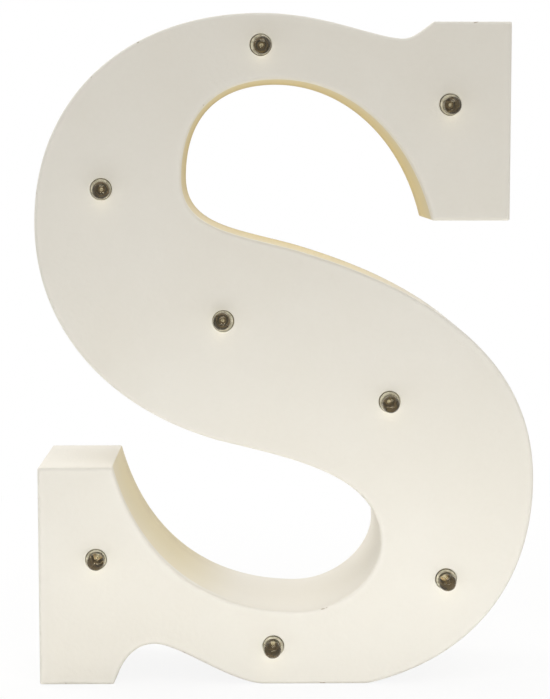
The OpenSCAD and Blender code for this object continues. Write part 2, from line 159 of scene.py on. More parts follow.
class Mixture:
    """The material of one finish, mixed node by node."""

    OUTPUT = "ShaderNodeOutputMaterial"
    # A Mix node's sockets for colours
    FACTOR, FIRST, SECOND, RESULT = 0, 6, 7, 2

    def __init__(self, name: str) -> None:
        """Starts with no nodes.

        Args:
            name: the name of what is mixed.
        """
        self.owner = self._new(name)
        self.owner.use_nodes = True
        self.tree = self.owner.node_tree
        self.tree.nodes.clear()

    @staticmethod
    def _new(name: str) -> bpy.types.ID:
        """Makes the material that is mixed."""
        return bpy.data.materials.new(name)

    def node(
        self,
        kind: str,
        settings: Settings | None = None,
        sockets: dict[str | int, object] | None = None,
        output: str | int = 0,
    ) -> Tone:
        """Adds a node.

        Args:
            kind: the node's type.
            settings: its own settings, set first; stops are those of a ramp.
            sockets: values or tones for its inputs.
            output: which output is wanted.

        Returns:
            The tone of that output.
        """
        made = self.tree.nodes.new(kind)
        for key, value in (settings or {}).items():
            if key == "stops":
                self._set_stops(made.color_ramp, value)
            else:
                setattr(made, key, value)
        for key, value in (sockets or {}).items():
            if isinstance(value, Tone):
                self.tree.links.new(value.socket, made.inputs[key])
            else:
                made.inputs[key].default_value = value
        return Tone(self, made.outputs[output])

    @staticmethod
    def _set_stops(ramp: bpy.types.ColorRamp, stops: Sequence[tuple[float, Colour]]) -> None:
        """Gives a ramp its colours.

        Args:
            ramp: the ramp to fill.
            stops: positions and colours, in order.
        """
        while len(ramp.elements) < len(stops):
            ramp.elements.new(1.0)
        for element, (position, colour) in zip(ramp.elements, stops):
            element.position = position
            element.color = (*colour, 1.0)

    def math(self, operation: str, first: Tone | float, second: Tone | float) -> Tone:
        """Adds a Math node.

        Args:
            operation: what it does.
            first: its first value.
            second: its second value.

        Returns:
            The result.
        """
        return self.node("ShaderNodeMath", {"operation": operation}, {0: first, 1: second})

    def place(self, turn: Sequence[float] = (0, 0, 0), stretch: Sequence[float] = (1, 1, 1)) -> Tone:
        """Gives the place on the piece, in metres.

        Args:
            turn: rotation of the pattern, in radians.
            stretch: scale of the pattern along its own axes.

        Returns:
            A vector tone.
        """
        spot = self.node("ShaderNodeTexCoord", output="Object")
        sockets = {"Vector": spot, "Rotation": tuple(turn), "Scale": tuple(stretch)}
        return self.node("ShaderNodeMapping", sockets=sockets)

    def noise(self, place: Tone, grain_mm: float, detail: float = 2.0, warp: float = 0.0) -> Tone:
        """Adds soft random grain.

        Args:
            place: where it is looked up.
            grain_mm: rough size of a grain.
            detail: how many finer layers it has.
            warp: how far it is distorted.

        Returns:
            A value about 0.5.
        """
        sockets = {"Vector": place, "Scale": 1 / (grain_mm * MM), "Detail": detail, "Distortion": warp}
        return self.node("ShaderNodeTexNoise", sockets=sockets)

    def specks(self, place: Tone, cell_mm: float, size: float) -> Tone:
        """Adds sparse round specks.

        Args:
            place: where they are looked up.
            cell_mm: mean distance between specks.
            size: radius of a speck as a share of that distance.

        Returns:
            1 in the middle of a speck, 0 away from it.
        """
        sockets = {"Vector": place, "Scale": 1 / (cell_mm * MM), "Randomness": 1.0}
        return 1 - self.node("ShaderNodeTexVoronoi", sockets=sockets).smooth(size * 0.4, size)

    def attribute(self, name: str) -> Tone:
        """Reads a value stored on the piece's vertices."""
        return self.node("ShaderNodeAttribute", {"attribute_name": name}, output="Fac")

    def blend(self, factor: Tone | float, first: Tone | Colour, second: Tone | Colour) -> Tone:
        """Mixes two colours.

        Args:
            factor: share of the second colour.
            first: one colour.
            second: the other colour.

        Returns:
            The mixed colour.
        """
        ends = [(*c, 1.0) if isinstance(c, tuple) else c for c in (first, second)]
        settings = {"data_type": "RGBA", "blend_type": "MIX"}
        sockets = {self.FACTOR: factor, self.FIRST: ends[0], self.SECOND: ends[1]}
        return self.node("ShaderNodeMix", settings, sockets, self.RESULT)

    def bump(self, height: Tone, depth_mm: float) -> Tone:
        """Turns a height into a normal.

        Args:
            height: the height, from 0 to 1.
            depth_mm: what a height of 1 measures.

        Returns:
            A normal.
        """
        return self.node("ShaderNodeBump", sockets={"Height": height, "Distance": depth_mm * MM, "Strength": 1.0})

    def shade(self, **sockets: object) -> bpy.types.Material:
        """Ends the mixture in one principled shader.

        Args:
            sockets: its inputs, with underscores for spaces.

        Returns:
            The finished material.
        """
        named = {key.replace("_", " "): value for key, value in sockets.items()}
        return self.out(self.node(PRINCIPLED, sockets=named))

    def out(self, shader: Tone) -> bpy.types.ID:
        """Sends a shader to the surface.

        Args:
            shader: the last shader.

        Returns:
            What was mixed.
        """
        end = self.tree.nodes.new(self.OUTPUT)
        self.tree.links.new(shader.socket, end.inputs["Surface"])
        return self.owner


class Sky(Mixture):
    """The light of the surroundings, mixed node by node."""

    OUTPUT = "ShaderNodeOutputWorld"

    @staticmethod
    def _new(name: str) -> bpy.types.ID:
        """Makes the world that is mixed."""
        return bpy.data.worlds.new(name)


# Finishes


class Finish(Protocol):
    """Anything that can be laid on a piece."""

    slot: Slot

    def make(self) -> bpy.types.Material:
        """Mixes the finish's material."""


@dataclass(frozen=True)
class Paint:
    """Ivory satin paint rolled on sanded board, chipped along the edges, with a painted highlight on them and painted
    warm shade in the counters.
    """

    slot: Slot
    colour: Colour = (0.790, 0.757, 0.684)
    deep: Colour = (0.742, 0.698, 0.606)
    board: Colour = (0.330, 0.225, 0.130)
    # Colour of the painted warm shade on the counter walls
    under: Colour = (0.680, 0.548, 0.210)
    roughness: float = 0.56
    stipple: float = 0.095
    wear: float = 0.27

    def make(self) -> bpy.types.Material:
        """Mixes patches of tone, roller stipple, dust specks, edge wear, a painted highlight along the edges and
        painted warm shade in the counters.

        Returns:
            The paint's material.
        """
        mix = Mixture(self.slot.value)
        place = mix.place()
        edge = mix.attribute("edge")
        patches = mix.noise(place, 38, 3)
        stipple = mix.noise(place, 1.1, 2)
        fine = mix.noise(place, 0.32, 2)
        dust = mix.specks(place, 7.5, 0.030)
        ragged = mix.noise(place, 2.6, 5, 0.6)
        chip = (edge * self.wear + ragged).smooth(0.93, 0.97)
        depth = mix.node("ShaderNodeSeparateXYZ", sockets={0: place}, output="Y")
        # Painted warm shade on the counter walls: a share stored on the strips, growing towards the rear
        shade_share = mix.attribute("shade_share")
        painted_shade = shade_share * (0.55 + depth.smooth(-0.016, 0.014) * 0.32 + patches * 0.22)
        # Painted shade: the rear of the counter walls turns darker and browner, towards the board's colour
        rear_shade = shade_share * depth.smooth(0.0080, 0.0196) * ragged.smooth(0.20, 0.60)
        tint = mix.blend(patches.smooth(0.30, 0.72), self.deep, self.colour)
        tint = mix.blend(0.35, self.colour, tint)
        # Lays the painted warm shade, then the painted shade at the rear
        tint = mix.blend(painted_shade, tint, self.under)
        tint = mix.blend(rear_shade * 0.38, tint, self.board)
        tint = mix.blend(stipple.smooth(0.35, 0.70) * 0.05, tint, (0.86, 0.83, 0.76))
        # Painted highlight: lighter along the rounded edges and round the holes
        tint = mix.blend(edge * 0.18, tint, (0.88, 0.855, 0.79))
        tint = mix.blend(dust * 0.22, tint, self.deep)
        tint = mix.blend(chip * 0.85, tint, self.board)
        height = stipple * 0.7 + fine * 0.25 + dust * 0.4 - chip * 1.2
        rough = self.roughness + (stipple - 0.5) * 0.16 + (patches - 0.5) * 0.10 + chip * 0.30
        normal = mix.bump(height, self.stipple)
        return mix.shade(Base_Color=tint, Roughness=rough, Specular_IOR_Level=0.22, Normal=normal)


@dataclass(frozen=True)
class Plastic:
    """Moulded plastic with a spark-eroded grain and rubbed edges."""

    slot: Slot
    colour: Colour
    roughness: float = 0.44
    grain_mm: float = 0.34
    grain_depth: float = 0.055

    def make(self) -> bpy.types.Material:
        """Mixes the moulded grain, flow marks and scuffs.

        Returns:
            The plastic's material.
        """
        mix = Mixture(self.slot.value)
        place = mix.place()
        grain = mix.noise(place, self.grain_mm, 2)
        flow = mix.noise(mix.place(turn=(0, 0.4, 0), stretch=(0.35, 1, 1)), 9, 3, 0.4)
        scuff = mix.noise(mix.place(turn=(0, 0.9, 0), stretch=(0.06, 1, 1)), 0.7, 3)
        rubbed = scuff.smooth(0.60, 0.80)
        pale = tuple(min(1.0, c * 1.5 + 0.015) for c in self.colour)
        dark = tuple(c * 0.78 for c in self.colour)
        tint = mix.blend(flow.smooth(0.3, 0.7), dark, self.colour)
        tint = mix.blend(rubbed * 0.55, tint, pale)
        rough = self.roughness + (grain - 0.5) * 0.18 + (flow - 0.5) * 0.10 - rubbed * 0.10
        return mix.shade(Base_Color=tint, Roughness=rough, Normal=mix.bump(grain, self.grain_depth))


@dataclass(frozen=True)
class Steel:
    """Plated steel with fine draw lines and a little tarnish."""

    slot: Slot
    colour: Colour = (0.66, 0.655, 0.64)
    tarnish: Colour = (0.40, 0.35, 0.28)
    roughness: float = 0.27

    def make(self) -> bpy.types.Material:
        """Mixes draw lines, stains and small pits.

        Returns:
            The plating's material.
        """
        mix = Mixture(self.slot.value)
        place = mix.place()
        lines = mix.noise(mix.place(stretch=(0.05, 1, 1)), 0.14, 2)
        stain = mix.noise(place, 2.4, 4, 0.5)
        pits = mix.specks(place, 0.9, 0.10)
        tint = mix.blend(stain.smooth(0.50, 0.80) * 0.55, self.colour, self.tarnish)
        tint = mix.blend(pits * 0.30, tint, self.tarnish)
        rough = self.roughness + (lines - 0.5) * 0.16 + stain.smooth(0.5, 0.8) * 0.20
        height = lines * 0.5 - pits * 0.5
        return mix.shade(Base_Color=tint, Metallic=1.0, Roughness=rough, Normal=mix.bump(height, 0.012))


@dataclass(frozen=True)
class Epoxy:
    """Clear cast epoxy with faint swirls of cure, a pale film on its collar as painted reflection of the face, and a
    brown foot as painted shade.
    """

    slot: Slot = Slot.CLEAR_EPOXY

    def make(self) -> bpy.types.Material:
        """Mixes clear resin with a barely wavy skin, and the films on its collar and foot, which are painted reflection
        and painted shade.

        Returns:
            The resin's material.
        """
        mix = Mixture(self.slot.value)
        place = mix.place()
        along = mix.attribute("along")
        swirl = mix.noise(place, 1.6, 2, 0.8)
        # The resin's yellow tint and its warm Specular Tint are painted warm light, warming what is seen in and through
        # each dome
        tint = mix.blend(swirl.smooth(0.3, 0.7), (0.955, 0.895, 0.700), (0.920, 0.840, 0.580))
        # Painted reflection: an opaque pale film on the upper collar, so that a pale ring shows round each dome
        collar_reflection = along.smooth(0.40, 0.46) * (1 - along.smooth(0.480, 0.486))
        collar_reflection = collar_reflection * (0.55 + swirl.smooth(0.35, 0.65) * 0.35)
        clear = {
            "Base Color": tint,
            "Roughness": 0.015 + swirl * 0.02,
            "IOR": 1.53,
            "Specular Tint": (1.0, 0.88, 0.64, 1.0),
            "Transmission Weight": 1.0,
            "Normal": mix.bump(swirl, 0.006),
        }
        # Colour of the painted reflection on the collar
        reflection_tint = mix.blend(swirl, (0.62, 0.56, 0.38), (0.76, 0.72, 0.58))
        # Painted shade: an opaque brown film on the foot, so that each dome reads dark brown
        foot = 1 - along.smooth(0.004, 0.012)
        brown = mix.blend(swirl, (0.15, 0.088, 0.022), (0.22, 0.150, 0.055))
        film = {"Base Color": mix.blend(foot, reflection_tint, brown), "Roughness": 0.3 + swirl * 0.2}
        shaders = [mix.node(PRINCIPLED, sockets=made) for made in (clear, film)]
        cover = collar_reflection.most(foot)
        return mix.out(mix.node("ShaderNodeMixShader", sockets={0: cover, 1: shaders[0], 2: shaders[1]}))


@dataclass(frozen=True)
class Wood:
    """Bare softwood with growth rings along the block."""

    slot: Slot = Slot.BARE_WOOD

    def make(self) -> bpy.types.Material:
        """Mixes rings, fibres and pores.

        Returns:
            The wood's material.
        """
        mix = Mixture(self.slot.value)
        along = mix.place(stretch=(1, 0.08, 1))
        rings = mix.node(
            "ShaderNodeTexWave",
            {"wave_type": "RINGS", "rings_direction": "Y"},
            {"Vector": along, "Scale": 230.0, "Distortion": 3.0, "Detail": 2.0},
            "Fac",
        )
        fibre = mix.noise(along, 0.3, 3)
        tint = mix.blend(rings, (0.60, 0.42, 0.23), (0.74, 0.57, 0.36))
        tint = mix.blend(fibre.smooth(0.5, 0.8) * 0.5, tint, (0.46, 0.30, 0.15))
        rough = 0.66 + fibre * 0.2
        return mix.shade(Base_Color=tint, Roughness=rough, Normal=mix.bump(fibre + rings * 0.4, 0.05))


@dataclass(frozen=True)
class Glow:
    """Yellow phosphor in the cup of a light."""

    slot: Slot = Slot.PHOSPHOR

    def make(self) -> bpy.types.Material:
        """Mixes grainy powder in resin.

        Returns:
            The phosphor's material.
        """
        mix = Mixture(self.slot.value)
        grain = mix.noise(mix.place(), 0.05, 2)
        tint = mix.blend(grain, (0.46, 0.40, 0.28), (0.62, 0.56, 0.42))
        return mix.shade(Base_Color=tint, Roughness=0.35 + grain * 0.2, Normal=mix.bump(grain, 0.01))


@dataclass(frozen=True)
class Glue:
    """Milky hot-melt glue."""

    slot: Slot = Slot.HOT_GLUE

    def make(self) -> bpy.types.Material:
        """Mixes cloudy, slightly wavy glue.

        Returns:
            The glue's material.
        """
        mix = Mixture(self.slot.value)
        cloud = mix.noise(mix.place(), 1.4, 3, 0.5)
        tint = mix.blend(cloud, (0.66, 0.62, 0.52), (0.83, 0.81, 0.74))
        return mix.shade(
            Base_Color=tint,
            Roughness=0.24 + cloud * 0.18,
            Subsurface_Weight=0.3,
            Subsurface_Scale=0.001,
            Normal=mix.bump(cloud, 0.10),
        )


@dataclass(frozen=True)
class WireSkin:
    """Soft insulation with a drawn, slightly dusty skin."""

    slot: Slot
    colour: Colour

    def make(self) -> bpy.types.Material:
        """Mixes the skin's sheen, dust and fine ripple.

        Returns:
            The insulation's material.
        """
        mix = Mixture(self.slot.value)
        place = mix.place()
        ripple = mix.noise(place, 0.5, 2)
        dust = mix.noise(place, 5, 4)
        pale = tuple(c * 0.8 + 0.12 for c in self.colour)
        tint = mix.blend(dust.smooth(0.5, 0.85) * 0.4, self.colour, pale)
        rough = 0.38 + ripple * 0.16
        return mix.shade(Base_Color=tint, Roughness=rough, Normal=mix.bump(ripple, 0.03))


@dataclass(frozen=True)
class Banded:
    """A lacquered or sleeved round part, coloured in bands along its length."""

    slot: Slot
    bands: tuple[tuple[float, Colour], ...]
    bare_low: float
    bare_high: float
    metal: Colour = (0.68, 0.67, 0.65)

    def make(self) -> bpy.types.Material:
        """Mixes the bands, with uncoated metal beyond them.

        Returns:
            The banded material.
        """
        mix = Mixture(self.slot.value)
        place = mix.place()
        along = mix.attribute("along")
        grain = mix.noise(place, 0.6, 3)
        scratch = mix.noise(mix.place(turn=(0, 0.38, 0), stretch=(0.05, 1, 1)), 0.25, 2)
        bands = mix.node("ShaderNodeValToRGB", {"stops": self.bands}, {"Fac": along + (grain - 0.5) * 0.004})
        metal = (self.bare_low - along).above(0.0).most(along.above(self.bare_high))
        tint = mix.blend(grain.smooth(0.5, 0.9) * 0.2, bands, (0.05, 0.05, 0.05))
        tint = mix.blend(metal, tint, self.metal)
        rough = 0.26 + scratch * 0.14 + grain * 0.08
        normal = mix.bump(scratch + grain * 0.5, 0.012)
        return mix.shade(Base_Color=tint, Metallic=metal, Roughness=rough, Normal=normal)


class Palette:
    """The finishes, each mixed once."""

    def __init__(self, finishes: Iterable[Finish]) -> None:
        """Mixes every finish and keeps it under its slot."""
        self.materials = {finish.slot: finish.make() for finish in finishes}

    def __getitem__(self, slot: Slot) -> bpy.types.Material:
        """Gives the material of a slot."""
        return self.materials[slot]


JACKET = (0.10, 0.11, 0.12)
CELL_BANDS = ((0.0, JACKET), (0.30, JACKET), (0.31, (0.62, 0.40, 0.09)), (1.0, (0.52, 0.33, 0.07)))
LACQUER = (0.58, 0.42, 0.24)
BROWN = (0.30, 0.14, 0.05)
BLACK = (0.02, 0.02, 0.02)
GOLD = (0.48, 0.32, 0.06)
RESISTOR_BANDS = (
    *((0.0, LACQUER), (0.36, LACQUER), (0.37, BROWN), (0.41, BROWN), (0.42, LACQUER)),
    *((0.47, BLACK), (0.51, BLACK), (0.52, LACQUER), (0.60, GOLD), (0.64, LACQUER)),
)

PALETTE = Palette(
    [
        Paint(Slot.PAINTED_FACE),
        Paint(Slot.PAINTED_SIDE, deep=(0.752, 0.719, 0.640), wear=0.36),
        Paint(Slot.PAINTED_BACK, colour=(0.770, 0.725, 0.635), roughness=0.55, stipple=0.080),
        Wood(),
        Steel(Slot.SCREW_STEEL, colour=(0.46, 0.45, 0.43), tarnish=(0.24, 0.20, 0.15), roughness=0.30),
        Plastic(Slot.CASE_PLASTIC, (0.022, 0.022, 0.023)),
        Plastic(Slot.COVER_PLASTIC, (0.026, 0.026, 0.027), roughness=0.48),
        Banded(Slot.CELL_JACKET, CELL_BANDS, 0.03, 0.985),
        Steel(Slot.SPRING_STEEL, roughness=0.20),
        Steel(Slot.PLATED_CONTACT, colour=(0.70, 0.69, 0.66), roughness=0.22),
        Plastic(Slot.SWITCH_BODY, (0.055, 0.030, 0.018), roughness=0.52),
        Steel(Slot.SWITCH_STEEL, roughness=0.30),
        Plastic(Slot.KNOB_PLASTIC, (0.014, 0.014, 0.015), roughness=0.38, grain_mm=0.2),
        Epoxy(),
        # The leads are painted dark brown: painted shade that keeps each dome dark brown inside
        Steel(Slot.LEAD_WIRE, colour=(0.108, 0.080, 0.046), tarnish=(0.048, 0.034, 0.018), roughness=0.30),
        Glow(),
        Glue(),
        WireSkin(Slot.RED_INSULATION, (0.42, 0.030, 0.024)),
        WireSkin(Slot.BLACK_INSULATION, (0.018, 0.018, 0.019)),
        Banded(Slot.RESISTOR_LACQUER, RESISTOR_BANDS, 0.275, 0.725),
    ]
)


def dress(obj: bpy.types.Object, node: str, finish: Slot, body: Body = Body.LETTER) -> None:
    """Lays a finish on a piece and puts it in the place of its solid.

    Args:
        obj: the finished piece.
        node: the solid that it stands for.
        finish: its finish.
        body: what it moves with.
    """
    obj.data.materials.clear()
    obj.data.materials.append(PALETTE[finish])
    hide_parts(node)
    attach(obj, body.value)


# Meshes

# Degrees between faces of a wire that still blend
WIRE_LIMIT = 60.0


def even_normals(mesh: bpy.types.Mesh, limit: float = 48.0) -> None:
    """Shades a mesh smoothly over soft edges and crisply over hard ones, with flat faces kept flat.

    Args:
        mesh: the mesh to shade.
        limit: the largest angle between faces that still blend, in degrees.
    """
    count = len(mesh.polygons)
    normals = np.empty(count * 3)
    areas = np.empty(count)
    mesh.polygons.foreach_get("normal", normals)
    mesh.polygons.foreach_get("area", areas)
    normals = normals.reshape(-1, 3)
    weighted = normals * areas[:, None]
    around: list[list[int]] = [[] for _ in mesh.vertices]
    for face in mesh.polygons:
        for vertex in face.vertices:
            around[vertex].append(face.index)
    least = math.cos(math.radians(limit))
    corners = []
    for face in mesh.polygons:
        own = normals[face.index]
        for vertex in face.vertices:
            near = around[vertex]
            blend = weighted[near][normals[near] @ own > least].sum(0)
            length = np.linalg.norm(blend)
            corners.append(blend / length if length > 0 else own)
    mesh.polygons.foreach_set("use_smooth", [True] * count)
    mesh.normals_split_custom_set(corners)


def to_object(name: str, mesh: bpy.types.Mesh) -> bpy.types.Object:
    """Puts a mesh in the scene.

    Args:
        name: the object's name.
        mesh: its mesh, in metres and in place.

    Returns:
        The object, at the origin.
    """
    obj = bpy.data.objects.new(name, mesh)
    bpy.context.scene.collection.objects.link(obj)
    return obj


class Blank:
    """A mesh in the making, in millimetres.

    Attributes:
        PRISM_EDGE: the least angle of an edge of a prism that is rounded, in radians.
        SOLID_EDGE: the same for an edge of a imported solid.
        WELD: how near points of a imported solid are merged.
        LEVEL: the angle within which its triangles are joined, in radians.
    """

    PRISM_EDGE = 0.4
    SOLID_EDGE = 0.5
    WELD = 0.002
    LEVEL = math.radians(0.6)

    def __init__(self) -> None:
        """Starts with nothing."""
        self.bm = bmesh.new()
        self.along = self.bm.verts.layers.float.new("along")

    def lathe(self, profile: Sequence[Point], sides: int, place: Matrix, flat: float | None = None) -> "Blank":
        """Turns a profile round its axis.

        Args:
            profile: radius and height of each point, from pole to pole.
            sides: number of steps round the axis.
            place: where the turned shape goes; its axis is Z.
            flat: where a flat is cut on the low X side.

        Returns:
            This blank.
        """
        low, high = profile[0][1], profile[-1][1]
        rings = []
        for radius, height in profile:
            turns = [math.tau * i / sides for i in range(sides)] if radius > 0 else [0.0]
            spots = [Vector((radius * math.cos(t), radius * math.sin(t), height)) for t in turns]
            if flat is not None:
                for spot in spots:
                    spot.x = max(spot.x, flat)
            ring = [self.bm.verts.new(place @ spot) for spot in spots]
            for vertex in ring:
                vertex[self.along] = (height - low) / (high - low)
            rings.append(ring)
        for a, b in zip(rings, rings[1:]):
            for i in range(sides):
                j = (i + 1) % sides
                corners = [a[i % len(a)], a[j % len(a)], b[j % len(b)], b[i % len(b)]]
                corners = list(dict.fromkeys(corners))
                if len(corners) > 2:
                    self.bm.faces.new(corners)
        return self

    def prism(
        self,
        outline: Sequence[Point],
        low: float,
        high: float,
        place: Matrix,
        bevel: float = 0.0,
        segments: int = 3,
    ) -> "Blank":
        """Raises an outline drawn in X and Z between two depths.

        Args:
            outline: corners in order.
            low: depth of its front.
            high: depth of its rear.
            place: where it goes.
            bevel: width of its rounded edges.
            segments: steps across a rounded edge.

        Returns:
            This blank.
        """
        front = [self.bm.verts.new(place @ Vector((x, low, z))) for x, z in outline]
        rear = [self.bm.verts.new(place @ Vector((x, high, z))) for x, z in outline]
        faces = [self.bm.faces.new(front), self.bm.faces.new(rear[::-1])]
        for i in range(len(outline)):
            j = (i + 1) % len(outline)
            faces.append(self.bm.faces.new([front[j], front[i], rear[i], rear[j]]))
        bmesh.ops.recalc_face_normals(self.bm, faces=faces)
        if bevel > 0:
            edges = dict.fromkeys(e for f in faces for e in f.edges if e.calc_face_angle(0.0) > self.PRISM_EDGE)
            self._round(list(edges), bevel, segments)
        return self

    def hoop(self, sections: Sequence[Sequence[Vector]]) -> "Blank":
        """Joins sections that stand round an axis into a closed ring.

        Args:
            sections: corners of each section, in order.

        Returns:
            This blank.
        """
        rings = [[self.bm.verts.new(corner) for corner in section] for section in sections]
        for a, b in zip(rings, [*rings[1:], rings[0]]):
            for j in range(len(a)):
                k = (j + 1) % len(a)
                self.bm.faces.new([a[j], a[k], b[k], b[j]])
        return self

    def solid(self, node: str, bevel: float, segments: int = 2) -> "Blank":
        """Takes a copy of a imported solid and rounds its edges.

        Args:
            node: the solid's name.
            bevel: width of the rounded edges.
            segments: steps across a rounded edge.

        Returns:
            This blank.
        """
        self.take(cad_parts[node].data.copy())
        self.along = self.bm.verts.layers.float.get("along") or self.bm.verts.layers.float.new("along")
        bmesh.ops.remove_doubles(self.bm, verts=self.bm.verts, dist=self.WELD)
        bmesh.ops.dissolve_limit(self.bm, angle_limit=self.LEVEL, verts=self.bm.verts, edges=self.bm.edges)
        self._round([e for e in self.bm.edges if e.calc_face_angle(0.0) > self.SOLID_EDGE], bevel, segments)
        return self

    def _round(self, edges: list[bmesh.types.BMEdge], width: float, segments: int) -> None:
        """Rounds edges.

        Args:
            edges: the edges to round.
            width: how far the rounding reaches on each side.
            segments: steps across it.
        """
        bmesh.ops.bevel(
            self.bm,
            geom=edges,
            offset=width,
            offset_type="OFFSET",
            segments=segments,
            profile=0.5,
            affect="EDGES",
            clamp_overlap=True,
        )

    def take(self, mesh: bpy.types.Mesh) -> "Blank":
        """Adds a finished mesh, in metres, and removes it.

        Args:
            mesh: the mesh to add.

        Returns:
            This blank.
        """
        mesh.transform(Matrix.Scale(1 / MM, 4))
        self.bm.from_mesh(mesh)
        bpy.data.meshes.remove(mesh)
        return self

    def mesh(self, name: str) -> bpy.types.Mesh:
        """Turns the blank into a mesh in metres.

        Args:
            name: the mesh's name.

        Returns:
            The mesh, with its normals set.
        """
        bmesh.ops.recalc_face_normals(self.bm, faces=self.bm.faces)
        mesh = bpy.data.meshes.new(name)
        self.bm.to_mesh(mesh)
        self.bm.free()
        mesh.transform(Matrix.Scale(MM, 4))
        even_normals(mesh)
        return mesh

    def piece(self, node: str) -> bpy.types.Object:
        """Turns the blank into the finished piece for a solid."""
        return to_object(f"{node}_finish", self.mesh(node))


class Grower:
    """A Geometry Nodes tree with named sizes, baked into plain meshes."""

    def __init__(self, name: str) -> None:
        """Starts a tree with geometry in and out.

        Args:
            name: the tree's name.
        """
        self.tree = bpy.data.node_groups.new(name, "GeometryNodeTree")
        self.inputs: dict[str, str] = {}
        self.tree.interface.new_socket("Geometry", in_out="INPUT", socket_type="NodeSocketGeometry")
        self.tree.interface.new_socket("Geometry", in_out="OUTPUT", socket_type="NodeSocketGeometry")
        self.start = self.tree.nodes.new("NodeGroupInput")
        self.end = self.tree.nodes.new("NodeGroupOutput")

    def size(self, name: str, kind: str) -> bpy.types.NodeSocket:
        """Adds a named input.

        Args:
            name: its name.
            kind: its socket type.

        Returns:
            The outlet that carries it.
        """
        item = self.tree.interface.new_socket(name, in_out="INPUT", socket_type=kind)
        self.inputs[name] = item.identifier
        return self.start.outputs[name]

    def node(
        self, kind: str, settings: Settings | None = None, sockets: dict[str | int, object] | None = None
    ) -> bpy.types.Node:
        """Adds a node.

        Args:
            kind: the node's type.
            settings: its own settings, set first.
            sockets: values or outlets for its inputs.

        Returns:
            The node.
        """
        made = self.tree.nodes.new(kind)
        for key, value in (settings or {}).items():
            setattr(made, key, value)
        for key, value in (sockets or {}).items():
            if isinstance(value, bpy.types.NodeSocket):
                self.tree.links.new(value, made.inputs[key])
            else:
                made.inputs[key].default_value = value
        return made

    def close(self, geometry: bpy.types.NodeSocket) -> None:
        """Ends the tree in plain, coloured geometry.

        Args:
            geometry: what the tree has grown.
        """
        material = self.size("Material", "NodeSocketMaterial")
        plain = self.node("GeometryNodeRealizeInstances", sockets={"Geometry": geometry})
        sockets = {"Geometry": plain.outputs[0], "Material": material}
        coloured = self.node("GeometryNodeSetMaterial", sockets=sockets)
        self.tree.links.new(coloured.outputs[0], self.end.inputs[0])

    def bake(self, seed: bpy.types.Mesh, slot: Slot, sizes: dict[str, object]) -> bpy.types.Mesh:
        """Grows a mesh from a seed.

        Args:
            seed: the points or lines to grow on; it is removed.
            slot: the finish of what grows.
            sizes: values of the named inputs.

        Returns:
            A plain mesh in metres.
        """
        carrier = to_object("carrier", seed)
        modifier = carrier.modifiers.new("grow", "NODES")
        modifier.node_group = self.tree
        for name, value in {**sizes, "Material": PALETTE[slot]}.items():
            modifier[self.inputs[name]] = value
        depsgraph = bpy.context.evaluated_depsgraph_get()
        mesh = bpy.data.meshes.new_from_object(
            carrier.evaluated_get(depsgraph), preserve_all_data_layers=True, depsgraph=depsgraph
        )
        carrier.modifiers.remove(modifier)
        bpy.data.objects.remove(carrier)
        bpy.data.meshes.remove(seed)
        return mesh


class Repeater(Grower):
    """Sets copies of one shape on points, each turned its own way."""

    def __init__(self) -> None:
        """Builds the tree."""
        super().__init__("repeat")
        shape = self.size("Shape", "NodeSocketObject")
        sockets = {"Object": shape, "As Instance": True}
        source = self.node("GeometryNodeObjectInfo", {"transform_space": "ORIGINAL"}, sockets)
        turn = self.node("GeometryNodeInputNamedAttribute", {"data_type": "FLOAT_VECTOR"}, {"Name": "turn"})
        turned = self.node("FunctionNodeEulerToRotation", sockets={0: turn.outputs["Attribute"]})
        sockets = {"Instance": source.outputs["Geometry"], "Rotation": turned.outputs[0]}
        copies = self.node("GeometryNodeInstanceOnPoints", sockets={"Points": self.start.outputs[0], **sockets})
        self.close(copies.outputs[0])

    def copies(self, shape: Blank, places: Sequence[Matrix], slot: Slot) -> bpy.types.Mesh:
        """Sets a shape at each place.

        Args:
            shape: the shape, drawn round its own origin; it is used up.
            places: where each copy goes, in millimetres.
            slot: the finish of the copies.

        Returns:
            One mesh of all copies, in metres.
        """
        template = to_object("template", shape.mesh("template"))
        seed = bpy.data.meshes.new("seed")
        seed.from_pydata([p.translation * MM for p in places], [], [])
        turns = seed.attributes.new("turn", "FLOAT_VECTOR", "POINT")
        for spot, place in zip(turns.data, places):
            spot.vector = place.to_euler()
        mesh = self.bake(seed, slot, {"Shape": template})
        used = template.data
        bpy.data.objects.remove(template)
        bpy.data.meshes.remove(used)
        even_normals(mesh)
        return mesh


